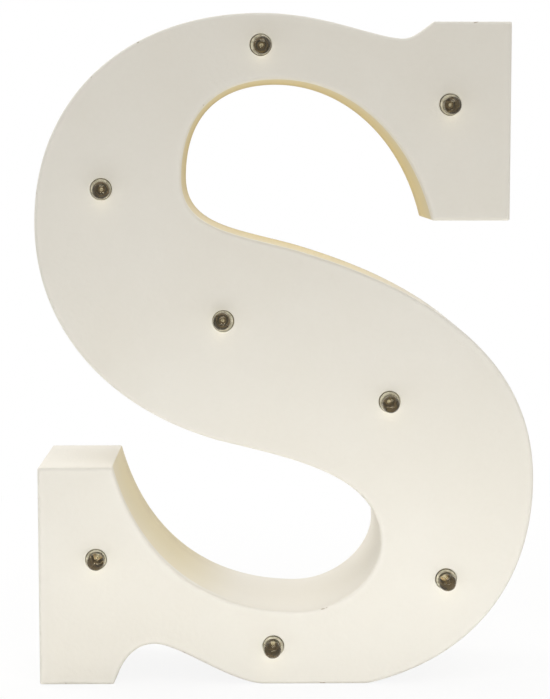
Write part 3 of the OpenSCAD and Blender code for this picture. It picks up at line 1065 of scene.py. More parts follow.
class Drawer(Grower):
    """Draws round wire along a path."""

    # Steps between two points of the path
    STEPS = 8

    def __init__(self) -> None:
        """Builds the tree."""
        super().__init__("draw")
        radius = self.size("Radius", "NodeSocketFloat")
        sides = self.size("Sides", "NodeSocketInt")
        path = self.node("GeometryNodeMeshToCurve", sockets={"Mesh": self.start.outputs[0]})
        self.close(self._swept(path.outputs[0], radius, sides))

    def _swept(
        self, path: bpy.types.NodeSocket, radius: bpy.types.NodeSocket, sides: bpy.types.NodeSocket
    ) -> bpy.types.NodeSocket:
        """Sweeps a circle along a curve.

        Args:
            path: the curve.
            radius: radius of the wire.
            sides: sides of the wire.

        Returns:
            The swept geometry.
        """
        circle = self.node("GeometryNodeCurvePrimitiveCircle", sockets={"Resolution": sides, "Radius": radius})
        sockets = {"Curve": path, "Profile Curve": circle.outputs[0], "Fill Caps": True}
        return self.node("GeometryNodeCurveToMesh", sockets=sockets).outputs[0]

    def wire(self, points: Sequence[Vector], radius: float, slot: Slot, sides: int = 14) -> bpy.types.Mesh:
        """Draws a wire smoothly through points.

        Args:
            points: where it passes, in millimetres.
            radius: its radius.
            slot: its finish.
            sides: its sides.

        Returns:
            A mesh in metres.
        """
        path = smooth_path(points, self.STEPS)
        seed = bpy.data.meshes.new("seed")
        seed.from_pydata([p * MM for p in path], [(i, i + 1) for i in range(len(path) - 1)], [])
        mesh = self.bake(seed, slot, {"Radius": radius * MM, "Sides": sides})
        even_normals(mesh, WIRE_LIMIT)
        return mesh


class Coiler(Drawer):
    """Winds a spring that narrows from one end to the other."""

    # Steps in a turn, and sides of the wire
    TURN_STEPS = 40
    SIDES = 10

    def __init__(self) -> None:
        """Builds the tree."""
        Grower.__init__(self, "coil")
        names = ("Radius", "Wide", "Narrow", "Rise", "Turns")
        radius, wide, narrow, rise, turns = [self.size(name, "NodeSocketFloat") for name in names]
        sides = self.size("Sides", "NodeSocketInt")
        sockets = {"Rotations": turns, "Start Radius": wide, "End Radius": narrow, "Height": rise}
        coil = self.node("GeometryNodeCurveSpiral", sockets={"Resolution": self.TURN_STEPS, **sockets})
        self.close(self._swept(coil.outputs[0], radius, sides))

    def spring(
        self, wide: float, narrow: float, rise: float, turns: float, radius: float, slot: Slot, place: Matrix
    ) -> bpy.types.Mesh:
        """Winds one spring.

        Args:
            wide: radius of its first turn.
            narrow: radius of its last turn.
            rise: its length.
            turns: number of turns.
            radius: radius of its wire.
            slot: its finish.
            place: where it goes, in millimetres; its axis is Z.

        Returns:
            A mesh in metres.
        """
        sizes = {"Wide": wide * MM, "Narrow": narrow * MM, "Rise": rise * MM, "Turns": turns}
        sizes |= {"Radius": radius * MM, "Sides": self.SIDES}
        mesh = self.bake(bpy.data.meshes.new("seed"), slot, sizes)
        even_normals(mesh, WIRE_LIMIT)
        mesh.transform(Matrix.Scale(MM, 4) @ place @ Matrix.Scale(1 / MM, 4))
        return mesh


def smooth_path(points: Sequence[Vector], steps: int) -> list[Vector]:
    """Runs a smooth curve through points.

    Args:
        points: the points, in order.
        steps: steps between two points.

    Returns:
        The points of the curve.
    """
    spots = [Vector(p) for p in points]
    spots = [2 * spots[0] - spots[1], *spots, 2 * spots[-1] - spots[-2]]
    path = []
    for a, b, c, d in zip(spots, spots[1:], spots[2:], spots[3:]):
        for i in range(steps):
            t = i / steps
            path.append(
                0.5 * (2 * b + (c - a) * t + (2 * a - 5 * b + 4 * c - d) * t * t + (3 * b - a - 3 * c + d) * t**3)
            )
    return [*path, spots[-2]]


REPEATER = Repeater()
DRAWER = Drawer()
COILER = Coiler()


def set_copies(node: str, shape: Blank, places: Sequence[Matrix], slot: Slot) -> None:
    """Sets copies of a shape as the piece for a solid.

    Args:
        node: the solid's name.
        shape: the shape, drawn round its own origin.
        places: where each copy goes.
        slot: the finish of the copies.
    """
    dress(to_object(f"{node}_finish", REPEATER.copies(shape, places, slot)), node, slot)


# The outline and its board


@dataclass(frozen=True)
class Run:
    """One stretch of the outline, with a strip bent along it.

    Attributes:
        node: the strip's name.
        start: its first corner, in X and Z.
        legs: straights as one end point, curves as two handles and an end.
        rounding: radius of the corner where it starts.
    """

    node: str
    start: Point
    legs: tuple[tuple[Point, ...], ...]
    rounding: float = 0.5

    def trace(self, steps: int = 260) -> np.ndarray:
        """Samples the run.

        Args:
            steps: samples on each leg.

        Returns:
            Rows of X, Z and the outward normal.
        """
        rows = []
        here = np.array(self.start, float)
        t = np.linspace(0, 1, steps)[:, None]
        for leg in self.legs:
            ends = [np.array(p, float) for p in leg]
            if len(ends) == 1:
                points = here + t * (ends[0] - here)
                slope = np.repeat((ends[0] - here)[None], steps, 0)
            else:
                b, c, d = ends
                s = 1 - t
                points = s**3 * here + 3 * s * s * t * b + 3 * s * t * t * c + t**3 * d
                slope = s * s * (b - here) + 2 * s * t * (c - b) + t * t * (d - c)
            slope = slope / np.linalg.norm(slope, axis=1)[:, None]
            made = np.hstack([points, slope[:, 1:], -slope[:, :1]])
            rows.append(made if not rows else made[1:])
            here = ends[-1]
        return np.vstack(rows)


RUNS = (
    Run("upper_serif_cap", (53.5, 160), (((35, 160),),)),
    Run(
        "lower_band",
        (35, 160),
        (
            ((33, 158.5),),
            ((31, 157), (29.5, 156), (27.5, 156)),
            ((20, 156.5), (9, 162), (-6, 162)),
            ((-37, 162), (-60, 143), (-60, 112)),
            ((-60, 88), (-44, 68), (-16, 60)),
            ((2, 55.5), (23, 51.5), (23, 35)),
            ((23, 26.5), (13.5, 18), (3, 18)),
            ((-20, 18), (-36, 31), (-42, 53.5)),
        ),
    ),
    Run("lower_serif_cap", (-42, 53.5), (((-60, 53.5),),)),
    Run("lower_serif_side", (-60, 53.5), (((-60, 0),),)),
    Run("lower_serif_foot", (-60, 0), (((-42, 0),),)),
    Run(
        "arch_strip",
        (-42, 0),
        (((-40.5, 3.5),), ((-39.3, 6.3), (-36.5, 10), (-32, 10)), ((-26, 10), (-14, 0.5), (-5.5, 0))),
    ),
    Run("base_strip", (-5.5, 0), (((20, 0),),), 12.0),
    Run(
        "upper_band",
        (20, 0),
        (
            ((46, 6), (60, 25), (60, 50)),
            ((60, 77), (40, 95), (2, 106)),
            ((-13, 110), (-25, 111), (-25, 123)),
            ((-25, 138.5), (-16.5, 146.5), (-2, 146.5)),
            ((15, 146.5), (30, 133.5), (35, 113)),
        ),
        12.0,
    ),
    Run("upper_serif_sill", (35, 113), (((53.5, 113),),)),
    Run("upper_serif_side", (53.5, 113), (((53.5, 160),),)),
)


class Loop(Protocol):
    """A closed line round the board or one of its holes."""

    def closed(self, inset: float) -> np.ndarray:
        """Gives the line, moved into the board.

        Args:
            inset: how far into the board.

        Returns:
            Rows of X, Z and the normal out of the board.
        """


class Outline:
    """The letter's outline, at any distance inside its edge.

    Attributes:
        ARC: steps round a corner.
        STEP: distance between stations on a curved run.
        STRAIGHT: stations on a straight run.
        LEAST_R: least radius of a corner.
        CLOSE: how far past its ends a sample still meets another.
        PARALLEL: the least turn between samples that meet.
    """

    ARC = 8
    STEP = 1.1
    STRAIGHT = 8
    LEAST_R = 0.05
    CLOSE = 1e-6
    PARALLEL = 1e-12

    def __init__(self, runs: Sequence[Run]) -> None:
        """Samples every run and settles how many stations it has.

        Args:
            runs: the runs, in order round the letter.
        """
        self.runs = runs
        self.dense = [run.trace() for run in runs]
        self.stations = []
        for run, rows in zip(runs, self.dense):
            length = self._lengths(rows)[-1]
            self.stations.append(self.STRAIGHT if len(run.legs) == 1 else round(length / self.STEP))

    @staticmethod
    def _lengths(rows: np.ndarray) -> np.ndarray:
        """Gives the length along a sampled run at each sample."""
        return np.concatenate([[0.0], np.cumsum(np.linalg.norm(np.diff(rows[:, :2], axis=0), axis=1))])

    @staticmethod
    def _at(rows: np.ndarray, lengths: np.ndarray, spots: np.ndarray) -> np.ndarray:
        """Reads a sampled run at given lengths.

        Args:
            rows: the samples.
            lengths: the length at each sample.
            spots: lengths to read at.

        Returns:
            Rows at those lengths.
        """
        read = np.column_stack([np.interp(spots, lengths, rows[:, i]) for i in range(4)])
        read[:, 2:] /= np.linalg.norm(read[:, 2:], axis=1)[:, None]
        return read

    def _meeting(self, first: np.ndarray, second: np.ndarray, reach: int = 300) -> tuple[float, float]:
        """Finds where the end of one run crosses the start of the next.

        Args:
            first: samples of the run that ends.
            second: samples of the run that starts.
            reach: how many samples are looked at.

        Returns:
            The sample numbers of the crossing on both runs.
        """
        a, b = first[-reach:, :2], second[:reach, :2]
        step_a, step_b = np.diff(a, axis=0), np.diff(b, axis=0)
        gap = b[None, :-1] - a[:-1, None]
        turn = step_a[:, None, 0] * step_b[None, :, 1] - step_a[:, None, 1] * step_b[None, :, 0]
        turn = np.where(np.abs(turn) < self.PARALLEL, self.PARALLEL, turn)
        u = (gap[..., 0] * step_b[None, :, 1] - gap[..., 1] * step_b[None, :, 0]) / turn
        v = (gap[..., 0] * step_a[:, None, 1] - gap[..., 1] * step_a[:, None, 0]) / turn
        low, high = -self.CLOSE, 1 + self.CLOSE
        hits = np.argwhere((u >= low) & (u <= high) & (v >= low) & (v <= high))
        if not len(hits):
            return len(first) - 1.0, 0.0
        i, j = hits[np.argmax(hits[:, 0] - hits[:, 1])]
        return len(first) - len(a) + i + float(u[i, j]), j + float(v[i, j])

    def by_run(self, inset: float) -> list[np.ndarray]:
        """Gives every run from the middle of one corner to the middle of the next.

        Args:
            inset: distance inside the edge.

        Returns:
            Rows of X, Z and the outward normal for each run; the end of one is the start of the next.
        """
        moved = [np.column_stack([r[:, :2] - inset * r[:, 2:], r[:, 2:]]) for r in self.dense]
        lengths = [self._lengths(rows) for rows in moved]
        starts, ends, arcs = [], [], []
        count = len(self.runs)
        for k in range(count):
            a, b = moved[k - 1], moved[k]
            i, j = self._meeting(a, b) if inset > 0 else (len(a) - 1.0, 0.0)
            end = float(np.interp(i, np.arange(len(a)), lengths[k - 1]))
            start = float(np.interp(j, np.arange(len(b)), lengths[k]))
            radius = max(self.runs[k].rounding - inset, self.LEAST_R)
            n_a = self._at(a, lengths[k - 1], np.array([end]))[0, 2:]
            n_b = self._at(b, lengths[k], np.array([start]))[0, 2:]
            turn = math.acos(max(-1.0, min(1.0, float(n_a @ n_b))))
            reach = radius * math.tan(turn / 2)
            ends.append(end - reach)
            starts.append(start + reach)
            p = self._at(a, lengths[k - 1], np.array([end - reach]))[0]
            q = self._at(b, lengths[k], np.array([start + reach]))[0]
            arcs.append(self._arc(p, q, radius))
        runs = []
        for k in range(count):
            spots = np.linspace(starts[k], ends[(k + 1) % count], self.stations[k])
            middle = self._at(moved[k], lengths[k], spots)[1:-1]
            half = self.ARC // 2
            runs.append(np.vstack([arcs[k][half:], middle, arcs[(k + 1) % count][: half + 1]]))
        return runs

    def _arc(self, p: np.ndarray, q: np.ndarray, radius: float) -> np.ndarray:
        """Rounds the corner between two runs.

        Args:
            p: the row where the rounding begins, on the run that ends.
            q: the row where it ends, on the run that starts.
            radius: the rounding's radius.

        Returns:
            Rows from one run to the other.
        """
        centre = p[:2] - radius * p[2:]
        first = math.atan2(p[3], p[2])
        sweep = (math.atan2(q[3], q[2]) - first + math.pi) % math.tau - math.pi
        share = np.linspace(0, 1, self.ARC + 1)
        angle = first + sweep * share
        normals = np.column_stack([np.cos(angle), np.sin(angle)])
        points = centre + radius * normals
        points += (q[:2] - points[-1]) * share[:, None]
        return np.hstack([points, normals])

    def closed(self, inset: float) -> np.ndarray:
        """Gives the whole outline as one closed line."""
        return np.vstack([rows[:-1] for rows in self.by_run(inset)])


@dataclass(frozen=True)
class RoundHole:
    """A drilled hole."""

    x: float
    z: float
    radius: float
    sides: int

    def closed(self, inset: float) -> np.ndarray:
        """Gives the hole's edge, clockwise.

        Args:
            inset: how far into the board.

        Returns:
            Rows of X, Z and the normal out of the board.
        """
        angle = -np.linspace(0, math.tau, self.sides, endpoint=False)
        ray = np.column_stack([np.cos(angle), np.sin(angle)])
        return np.hstack([[self.x, self.z] + (self.radius + inset) * ray, -ray])


@dataclass(frozen=True)
class Keyhole:
    """A round mouth with a slot rising from it."""

    x: float
    z: float
    mouth: float = 4.0
    slot: float = 2.1
    rise: float = 8.0

    def closed(self, inset: float) -> np.ndarray:
        """Gives the keyhole's edge, clockwise.

        Args:
            inset: how far into the board.

        Returns:
            Rows of X, Z and the normal out of the board.
        """
        mouth, slot = self.mouth + inset, self.slot + inset
        neck = math.acos(slot / mouth)
        over = np.linspace(0, math.pi, 17)
        round_end = np.column_stack([np.cos(over), np.sin(over)])
        under = np.linspace(math.pi - neck, math.tau + neck, 41)
        round_mouth = np.column_stack([np.cos(under), np.sin(under)])
        points = np.vstack([slot * round_end + [0, self.rise], mouth * round_mouth])
        rays = np.vstack([round_end, round_mouth])
        return np.hstack([points + [self.x, self.z], -rays])[::-1]


@dataclass(frozen=True)
class Window:
    """A rectangular opening with rounded corners, along the spine."""

    x: float
    half_l: float
    half_w: float
    rounding: float = 0.6

    def closed(self, inset: float) -> np.ndarray:
        """Gives the window's edge, clockwise.

        Args:
            inset: how far into the board.

        Returns:
            Rows of X, Z and the normal out of the board.
        """
        rows = rounded_rectangle(self.half_l + inset, self.half_w + inset, self.rounding + inset)
        turned = [SPINE @ Vector((self.x + x, 0, z)) for x, z in rows[:, :2]]
        rays = [SPINE.to_3x3() @ Vector((x, 0, z)) for x, z in rows[:, 2:]]
        return np.array([(p.x, p.z, -r.x, -r.z) for p, r in zip(turned, rays)])[::-1]


def rounded_rectangle(half_l: float, half_w: float, radius: float, steps: int = 6) -> np.ndarray:
    """Draws a rectangle with rounded corners, anticlockwise.

    Args:
        half_l: half its length.
        half_w: half its width.
        radius: radius of its corners.
        steps: steps round a corner.

    Returns:
        Rows of X, Z and the outward normal.
    """
    rows = []
    for k, (sx, sz) in enumerate(((1, 1), (-1, 1), (-1, -1), (1, -1))):
        for t in np.linspace(0, math.pi / 2, steps + 1):
            ray = np.array([math.cos(t + k * math.pi / 2), math.sin(t + k * math.pi / 2)])
            corner = np.array([sx * (half_l - radius), sz * (half_w - radius)])
            rows.append([*(corner + radius * ray), *ray])
    return np.array(rows)


class Skin:
    """A surface built from rings, in millimetres, with exact normals, a value for the wear of its edges that also sets
    their painted highlight, and a share of painted warm shade.
    """

    def __init__(self) -> None:
        """Starts with nothing."""
        self.points: list[np.ndarray] = []
        self.normals: list[np.ndarray] = []
        self.edges: list[np.ndarray] = []
        self.shade_shares: list[np.ndarray] = []
        self.faces: list[Sequence[int]] = []
        self.flat: list[bool] = []
        self.count = 0

    def face(self, corners: Sequence[int], flat: bool) -> None:
        """Adds a face.

        Args:
            corners: its vertices, anticlockwise from outside.
            flat: whether it is shaded flat.
        """
        self.faces.append([int(i) for i in corners])
        self.flat.append(flat)

    def ring(
        self, rows: np.ndarray, depth: float, lean: float, edge: float, shade_share: np.ndarray | float = 0.0
    ) -> np.ndarray:
        """Adds a ring of vertices.

        Args:
            rows: X, Z and normal of each vertex.
            depth: depth behind the face.
            lean: how far the surface turns to the rear, in degrees; -90 faces the front.
            edge: how much it wears, and how much painted highlight it gets.
            shade_share: how much painted warm shade it gets.

        Returns:
            The vertices' numbers.
        """
        c, s = math.cos(math.radians(lean)), math.sin(math.radians(lean))
        n = len(rows)
        self.points.append(np.column_stack([rows[:, 0], np.full(n, FACE_Y + depth), rows[:, 1]]))
        self.normals.append(np.column_stack([rows[:, 2] * c, np.full(n, s), rows[:, 3] * c]))
        self.edges.append(np.full(n, edge))
        self.shade_shares.append(np.full(n, shade_share))
        self.count += n
        return np.arange(self.count - n, self.count)

    def bridge(self, a: np.ndarray, b: np.ndarray, closed: bool, flat: bool = False) -> None:
        """Joins two rings with faces.

        Args:
            a: the ring nearer the front of the profile.
            b: the next ring.
            closed: whether the rings run all the way round.
            flat: whether the faces are shaded flat.
        """
        n = len(a)
        for i in range(n if closed else n - 1):
            j = (i + 1) % n
            self.face((a[i], b[i], b[j], a[j]), flat)

    def sweep(self, loop: Loop, profile: Profile) -> list[np.ndarray]:
        """Runs a profile round a closed line.

        Args:
            loop: the line.
            profile: inset, depth, lean and edge of each ring.

        Returns:
            The rings.
        """
        rings = [self.ring(loop.closed(inset), depth, lean, edge) for inset, depth, lean, edge in profile]
        for a, b in zip(rings, rings[1:]):
            self.bridge(a, b, True)
        return rings

    def cap(self, loops: Sequence[np.ndarray], front: bool) -> None:
        """Closes a flat face with holes.

        Args:
            loops: the outer ring and the rings of its holes.
            front: whether it faces the front.
        """
        numbers = np.concatenate(loops)
        flat = np.vstack(self.points)[numbers][:, [0, 2]]
        starts = np.cumsum([0, *[len(loop) for loop in loops]])
        lines = [(a + i, a + (i + 1) % (b - a)) for a, b in zip(starts, starts[1:]) for i in range(b - a)]
        edges = [(int(i), int(j)) for i, j in lines]
        _, _, made, origin, _, _ = delaunay_2d_cdt([Vector(p) for p in flat], edges, [], 0, 1e-6)
        corners = np.array([[origin[i][0] for i in face] for face in made])
        middles = flat[corners].mean(1)
        a, b = flat[[i for i, _ in edges]], flat[[j for _, j in edges]]
        spans = (a[:, 1] > middles[:, None, 1]) != (b[:, 1] > middles[:, None, 1])
        rise = np.where(a[:, 1] == b[:, 1], 1.0, b[:, 1] - a[:, 1])
        cross = a[:, 0] + (middles[:, None, 1] - a[:, 1]) * (b[:, 0] - a[:, 0]) / rise
        inside = (spans & (middles[:, None, 0] < cross)).sum(1) % 2 == 1
        for i, j, k in corners[inside]:
            (ax, az), (bx, bz) = flat[j] - flat[i], flat[k] - flat[i]
            face = (i, j, k) if (ax * bz - az * bx > 0) == front else (i, k, j)
            self.face([numbers[n] for n in face], True)

    def piece(self, node: str) -> bpy.types.Object:
        """Turns the skin into the finished piece for a solid.

        Args:
            node: the solid's name.

        Returns:
            The piece.
        """
        mesh = bpy.data.meshes.new(node)
        mesh.from_pydata((np.vstack(self.points) * MM).tolist(), [], self.faces)
        for name, values in (("edge", self.edges), ("shade_share", self.shade_shares)):
            mark = mesh.attributes.new(name, "FLOAT", "POINT")
            mark.data.foreach_set("value", np.concatenate(values))
        round_normals = np.vstack(self.normals)
        corners = []
        for face, flat in zip(mesh.polygons, self.flat):
            corners += [face.normal if flat else round_normals[i] for i in face.vertices]
        mesh.polygons.foreach_set("use_smooth", [True] * len(self.faces))
        mesh.normals_split_custom_set(corners)
        return to_object(f"{node}_finish", mesh)


def fillet(radius: float, inset: float, depth: float, first: float, edge: float, steps: int) -> Profile:
    """Gives the rings of a rounded edge.

    Args:
        radius: radius of the rounding.
        inset: inset of the sharp edge.
        depth: depth of the sharp edge.
        first: lean where it starts, in degrees: -90 at a front edge, 0 at a rear one, 90 at an inner rear one.
        edge: wear and painted highlight in the middle of it.
        steps: steps across it.

    Returns:
        Inset, depth, lean, and wear with painted highlight, of each ring.
    """
    middle = first + 45
    side = 1 if math.cos(math.radians(middle)) > 0 else -1
    rear = 1 if math.sin(math.radians(middle)) > 0 else -1
    rings = []
    for i in range(steps + 1):
        lean = math.radians(first + 90 * i / steps)
        inward = inset + side * radius - radius * math.cos(lean)
        behind = depth - rear * radius + radius * math.sin(lean)
        wear_and_highlight = edge * (1 - abs(2 * i / steps - 1) * 0.6)
        rings.append((inward, behind, math.degrees(lean), wear_and_highlight))
    return rings


@dataclass(frozen=True)
class PaintedShadeSpot:
    """Where a strip gets painted warm shade, deep in one of the counters."""

    # Where the painted shade ends, in widths and heights of the spot
    REACH = 1.6

    node: str
    x: float
    z: float
    wide: float
    high: float
    share: float

    def over(self, rows: np.ndarray) -> np.ndarray:
        """Gives how much painted shade a strip gets along its length.

        Args:
            rows: the strip's stations.

        Returns:
            A share for each station.
        """
        far = np.hypot((rows[:, 0] - self.x) / self.wide, (rows[:, 1] - self.z) / self.high)
        t = np.clip(self.REACH - far, 0, 1)
        return self.share * t * t * (3 - 2 * t)


@dataclass
class LetterShell:
    """The face board and the strips bent round its edge, painted as one."""

    outline: Outline
    lights: Sequence[Point]
    face_t: float = 3.0
    depth: float = 37.0
    strip_t: float = 2.5
    face_round: float = 0.9
    rim_round: float = 0.5
    hole_r: float = 2.6
    hole_round: float = 0.22
    # Spots of painted warm shade in the upper and lower counters
    painted_shade: Sequence[PaintedShadeSpot] = (
        PaintedShadeSpot("upper_band", 4.0, 127.0, 44.0, 30.0, 1.0),
        PaintedShadeSpot("lower_band", -30.0, 42.0, 18.0, 20.0, 0.60),
    )

    def build(self) -> None:
        """Builds the face and every strip."""
        self._face()
        self._strips()

    def _face(self) -> None:
        """Builds the face board with its holes."""
        skin = Skin()
        r, h, rear = self.face_round, self.hole_round, (0.0, self.face_t, 0, 0.0)
        # The last value of each ring is its wear, which also sets the painted highlight along the edge and round each
        # hole
        edge = [(r + 1.3, 0.0, -90, 0.0), *fillet(r, 0.0, 0.0, -90, 1.0, 6), (0.0, 2.0, 0, 0.0), rear]
        mouth = [(h + 1.0, 0.0, -90, 0.0), (h + 0.35, 0.0, -90, 0.25), *fillet(h, 0.0, 0.0, -90, 0.7, 4), rear]
        outer = skin.sweep(self.outline, edge)
        holes = [skin.sweep(RoundHole(x, z, self.hole_r, 56), mouth) for x, z in self.lights]
        skin.cap([outer[0], *[hole[0] for hole in holes]], True)
        skin.cap([outer[-1], *[hole[-1] for hole in holes]], False)
        dress(skin.piece("front_panel"), "front_panel", Slot.PAINTED_FACE)

    def _strips(self) -> None:
        """Builds the strips, whose ends meet in mitres under the paint."""
        rim, wall = self.depth, self.strip_t
        # The last value of each ring is its wear, which also sets the painted highlight along the rim
        profile = [
            (0.0, self.face_t, 0, 0.0),
            (0.0, 12.0, 0, 0.0),
            (0.0, rim - 6.0, 0, 0.0),
            (0.0, rim - 1.6, 0, 0.0),
            *fillet(self.rim_round, 0.0, rim, 0, 1.0, 4),
            *fillet(self.rim_round, wall, rim, 90, 0.8, 4),
            (wall, rim - 1.6, 180, 0.0),
            (wall, self.face_t, 180, 0.0),
        ]
        levels = {inset: self.outline.by_run(inset) for inset in sorted({row[0] for row in profile})}
        for k, run in enumerate(self.outline.runs):
            skin = Skin()
            # Share of painted warm shade at each station, a fifth of it on faces turned to the rear
            shade_share = sum((spot.over(levels[0.0][k]) for spot in self.painted_shade if spot.node == run.node), np.zeros(1))
            rings = [
                skin.ring(levels[i][k], depth, lean, edge, shade_share if lean <= 0 else shade_share * 0.2)
                for i, depth, lean, edge in profile
            ]
            for a, b in zip(rings, rings[1:]):
                skin.bridge(a, b, False)
            skin.bridge(rings[-1], rings[0], False, True)
            skin.face([ring[0] for ring in rings[::-1]], True)
            skin.face([ring[-1] for ring in rings], True)
            dress(skin.piece(run.node), run.node, Slot.PAINTED_SIDE)


# What is fixed to the letter


class Head(Enum):
    """How a screw's head sits."""

    SUNK = "sunk"
    PAN = "pan"


@dataclass(frozen=True)
class Screw:
    """A cross-head wood screw; its head is at the origin and its point is on the low Z side."""

    radius: float
    length: float
    head: Head
    head_r: float
    head_h: float
    pitch: float = 0.9

    def shape(self) -> Blank:
        """Turns the screw and cuts its cross.

        Returns:
            The screw as a blank.
        """
        r, tip = self.radius, -self.length
        profile = [(0.0, tip), (r * 0.35, tip + 0.7)]
        height = tip + 1.3
        while height < -self.head_h - self.pitch:
            profile += [(r * 0.74, height), (r, height + self.pitch * 0.45), (r * 0.74, height + self.pitch * 0.55)]
            height += self.pitch
        if self.head is Head.SUNK:
            profile += [(r * 0.8, -self.head_h), (self.head_r - 0.08, -0.12), (self.head_r, -0.06)]
            profile += [(self.head_r - 0.05, 0.0), (self.head_r * 0.62, 0.0), (0.0, 0.0)]
        else:
            profile += [(r * 0.9, 0.0), (self.head_r - 0.1, 0.0), (self.head_r, 0.12)]
            profile += [
                (self.head_r * math.cos(a), 0.12 + (self.head_h - 0.12) * math.sin(a))
                for a in np.linspace(0.35, 1.35, 5)
            ]
            profile += [(0.0, self.head_h)]
        body = to_object("body", Blank().lathe(profile, 44, Matrix()).mesh("body"))
        top = 0.0 if self.head is Head.SUNK else self.head_h
        cutter = to_object("cutter", self._cross(top).mesh("cutter"))
        cut = body.modifiers.new("cut", "BOOLEAN")
        cut.object, cut.operation, cut.solver = cutter, "DIFFERENCE", "EXACT"
        depsgraph = bpy.context.evaluated_depsgraph_get()
        mesh = bpy.data.meshes.new_from_object(body.evaluated_get(depsgraph))
        for used in (body, cutter):
            data = used.data
            bpy.data.objects.remove(used)
            bpy.data.meshes.remove(data)
        return Blank().take(mesh)

    def _cross(self, top: float) -> Blank:
        """Draws the driver's cross as a cutter.

        Args:
            top: height of the head's top.

        Returns:
            The cutter as a blank.
        """
        arm, half = self.head_r * 0.60, self.head_r * 0.15
        outline = [(half, half), (half, arm), (-half, arm), (-half, half), (-arm, half), (-arm, -half)]
        outline += [(-half, -half), (-half, -arm), (half, -arm), (half, -half), (arm, -half), (arm, half)]
        upright = Matrix.Rotation(math.radians(90), 4, "X")
        return Blank().prism(outline, -top - 0.5, -top + 0.9, upright)


@dataclass
class BackPanel:
    """The board let into the rear, with its blocks and screws."""

    outline: Outline
    blocks: Sequence[Point]
    keyholes: Sequence[Point]
    front: float = 30.0
    rear: float = 33.0
    inset: float = 2.7
    rounding: float = 0.3
    screw_hole_r: float = 1.3
    pilot_hole_r: float = 1.05
    battery_window: Point = (27.0, 13.0)
    switch_window: Point = (3.3, 5.4)
    block_half: float = 3.5
    block_front: float = 3.0

    def build(self) -> None:
        """Builds the panel, the blocks and the screws."""
        self._panel()
        self._blocks()
        self._screws()

    def _panel(self) -> None:
        """Builds the panel with all its openings."""
        skin = Skin()
        r, low, high, inset = self.rounding, self.front, self.rear, self.inset
        # The last value of each ring is its wear, which also sets the painted highlight along the edges and openings
        edge = [(inset, low, 0, 0.0), (inset, high - 1.2, 0, 0.0), *fillet(r, inset, high, 0, 1.0, 3)]
        outer = skin.sweep(self.outline, [*edge, (inset + 1.2, high, 90, 0.0)])
        through = [(0.0, low, 0, 0.0), *fillet(r, 0.0, high, 0, 0.8, 3), (r + 0.8, high, 90, 0.0)]
        sunk = [(0.0, low, 0, 0.0), (0.0, high - 1.4, 0, 0.0), (1.32, high - 0.05, 45, 0.6)]
        sunk += [(1.5, high, 90, 0.4), (2.2, high, 90, 0.0)]
        plain = [(0.0, low, 0, 0.0), (0.0, high, 0, 0.0)]
        holes = [skin.sweep(Keyhole(x, z), through) for x, z in self.keyholes]
        holes += [skin.sweep(RoundHole(x, z, self.screw_hole_r, 40), sunk) for x, z in self.blocks]
        holes.append(skin.sweep(Window(0, *self.battery_window), through))
        holes.append(skin.sweep(Window(SWITCH_X, *self.switch_window), plain))
        pilots = [(-CASE_SCREW_X, 0), (CASE_SCREW_X, 0), (SWITCH_X, SWITCH_PITCH / 2), (SWITCH_X, -SWITCH_PITCH / 2)]
        for x, z in pilots:
            spot = SPINE @ Vector((x, 0, z))
            holes.append(skin.sweep(RoundHole(spot.x, spot.z, self.pilot_hole_r, 24), plain))
        skin.cap([outer[0], *[hole[0] for hole in holes]], True)
        skin.cap([outer[-1], *[hole[-1] for hole in holes]], False)
        dress(skin.piece("back_panel"), "back_panel", Slot.PAINTED_BACK)

    def _blocks(self) -> None:
        """Sets the softwood blocks between the panels."""
        half = self.block_half
        square = [(half, half), (-half, half), (-half, -half), (half, -half)]
        shape = Blank().prism(square, self.block_front, self.front, Matrix(), 0.35, 2)
        places = [Matrix.Translation((x, FACE_Y, z)) for x, z in self.blocks]
        set_copies("corner_blocks", shape, places, Slot.BARE_WOOD)

    def _screws(self) -> None:
        """Sets a sunk screw in each block, each stopped at its own turn."""
        shape = Screw(1.25, 12.0, Head.SUNK, 2.5, 1.25, 1.1).shape()
        places = [
            Matrix.Translation((x, FACE_Y + self.rear, z)) @ TO_REAR @ Matrix.Rotation(0.7 * i * i + 0.3, 4, "Z")
            for i, (x, z) in enumerate(self.blocks)
        ]
        set_copies("back_panel_screws", shape, places, Slot.SCREW_STEEL)


# Right and up, in steps of the lean
LIGHT_LEANS = ((0.9, -0.7), (0.9, -0.6), (0.6, -0.6), (-0.8, 0.4), (0.4, -1), (0.4, -0.9), (-0.6, -0.9), (0.4, -0.1))


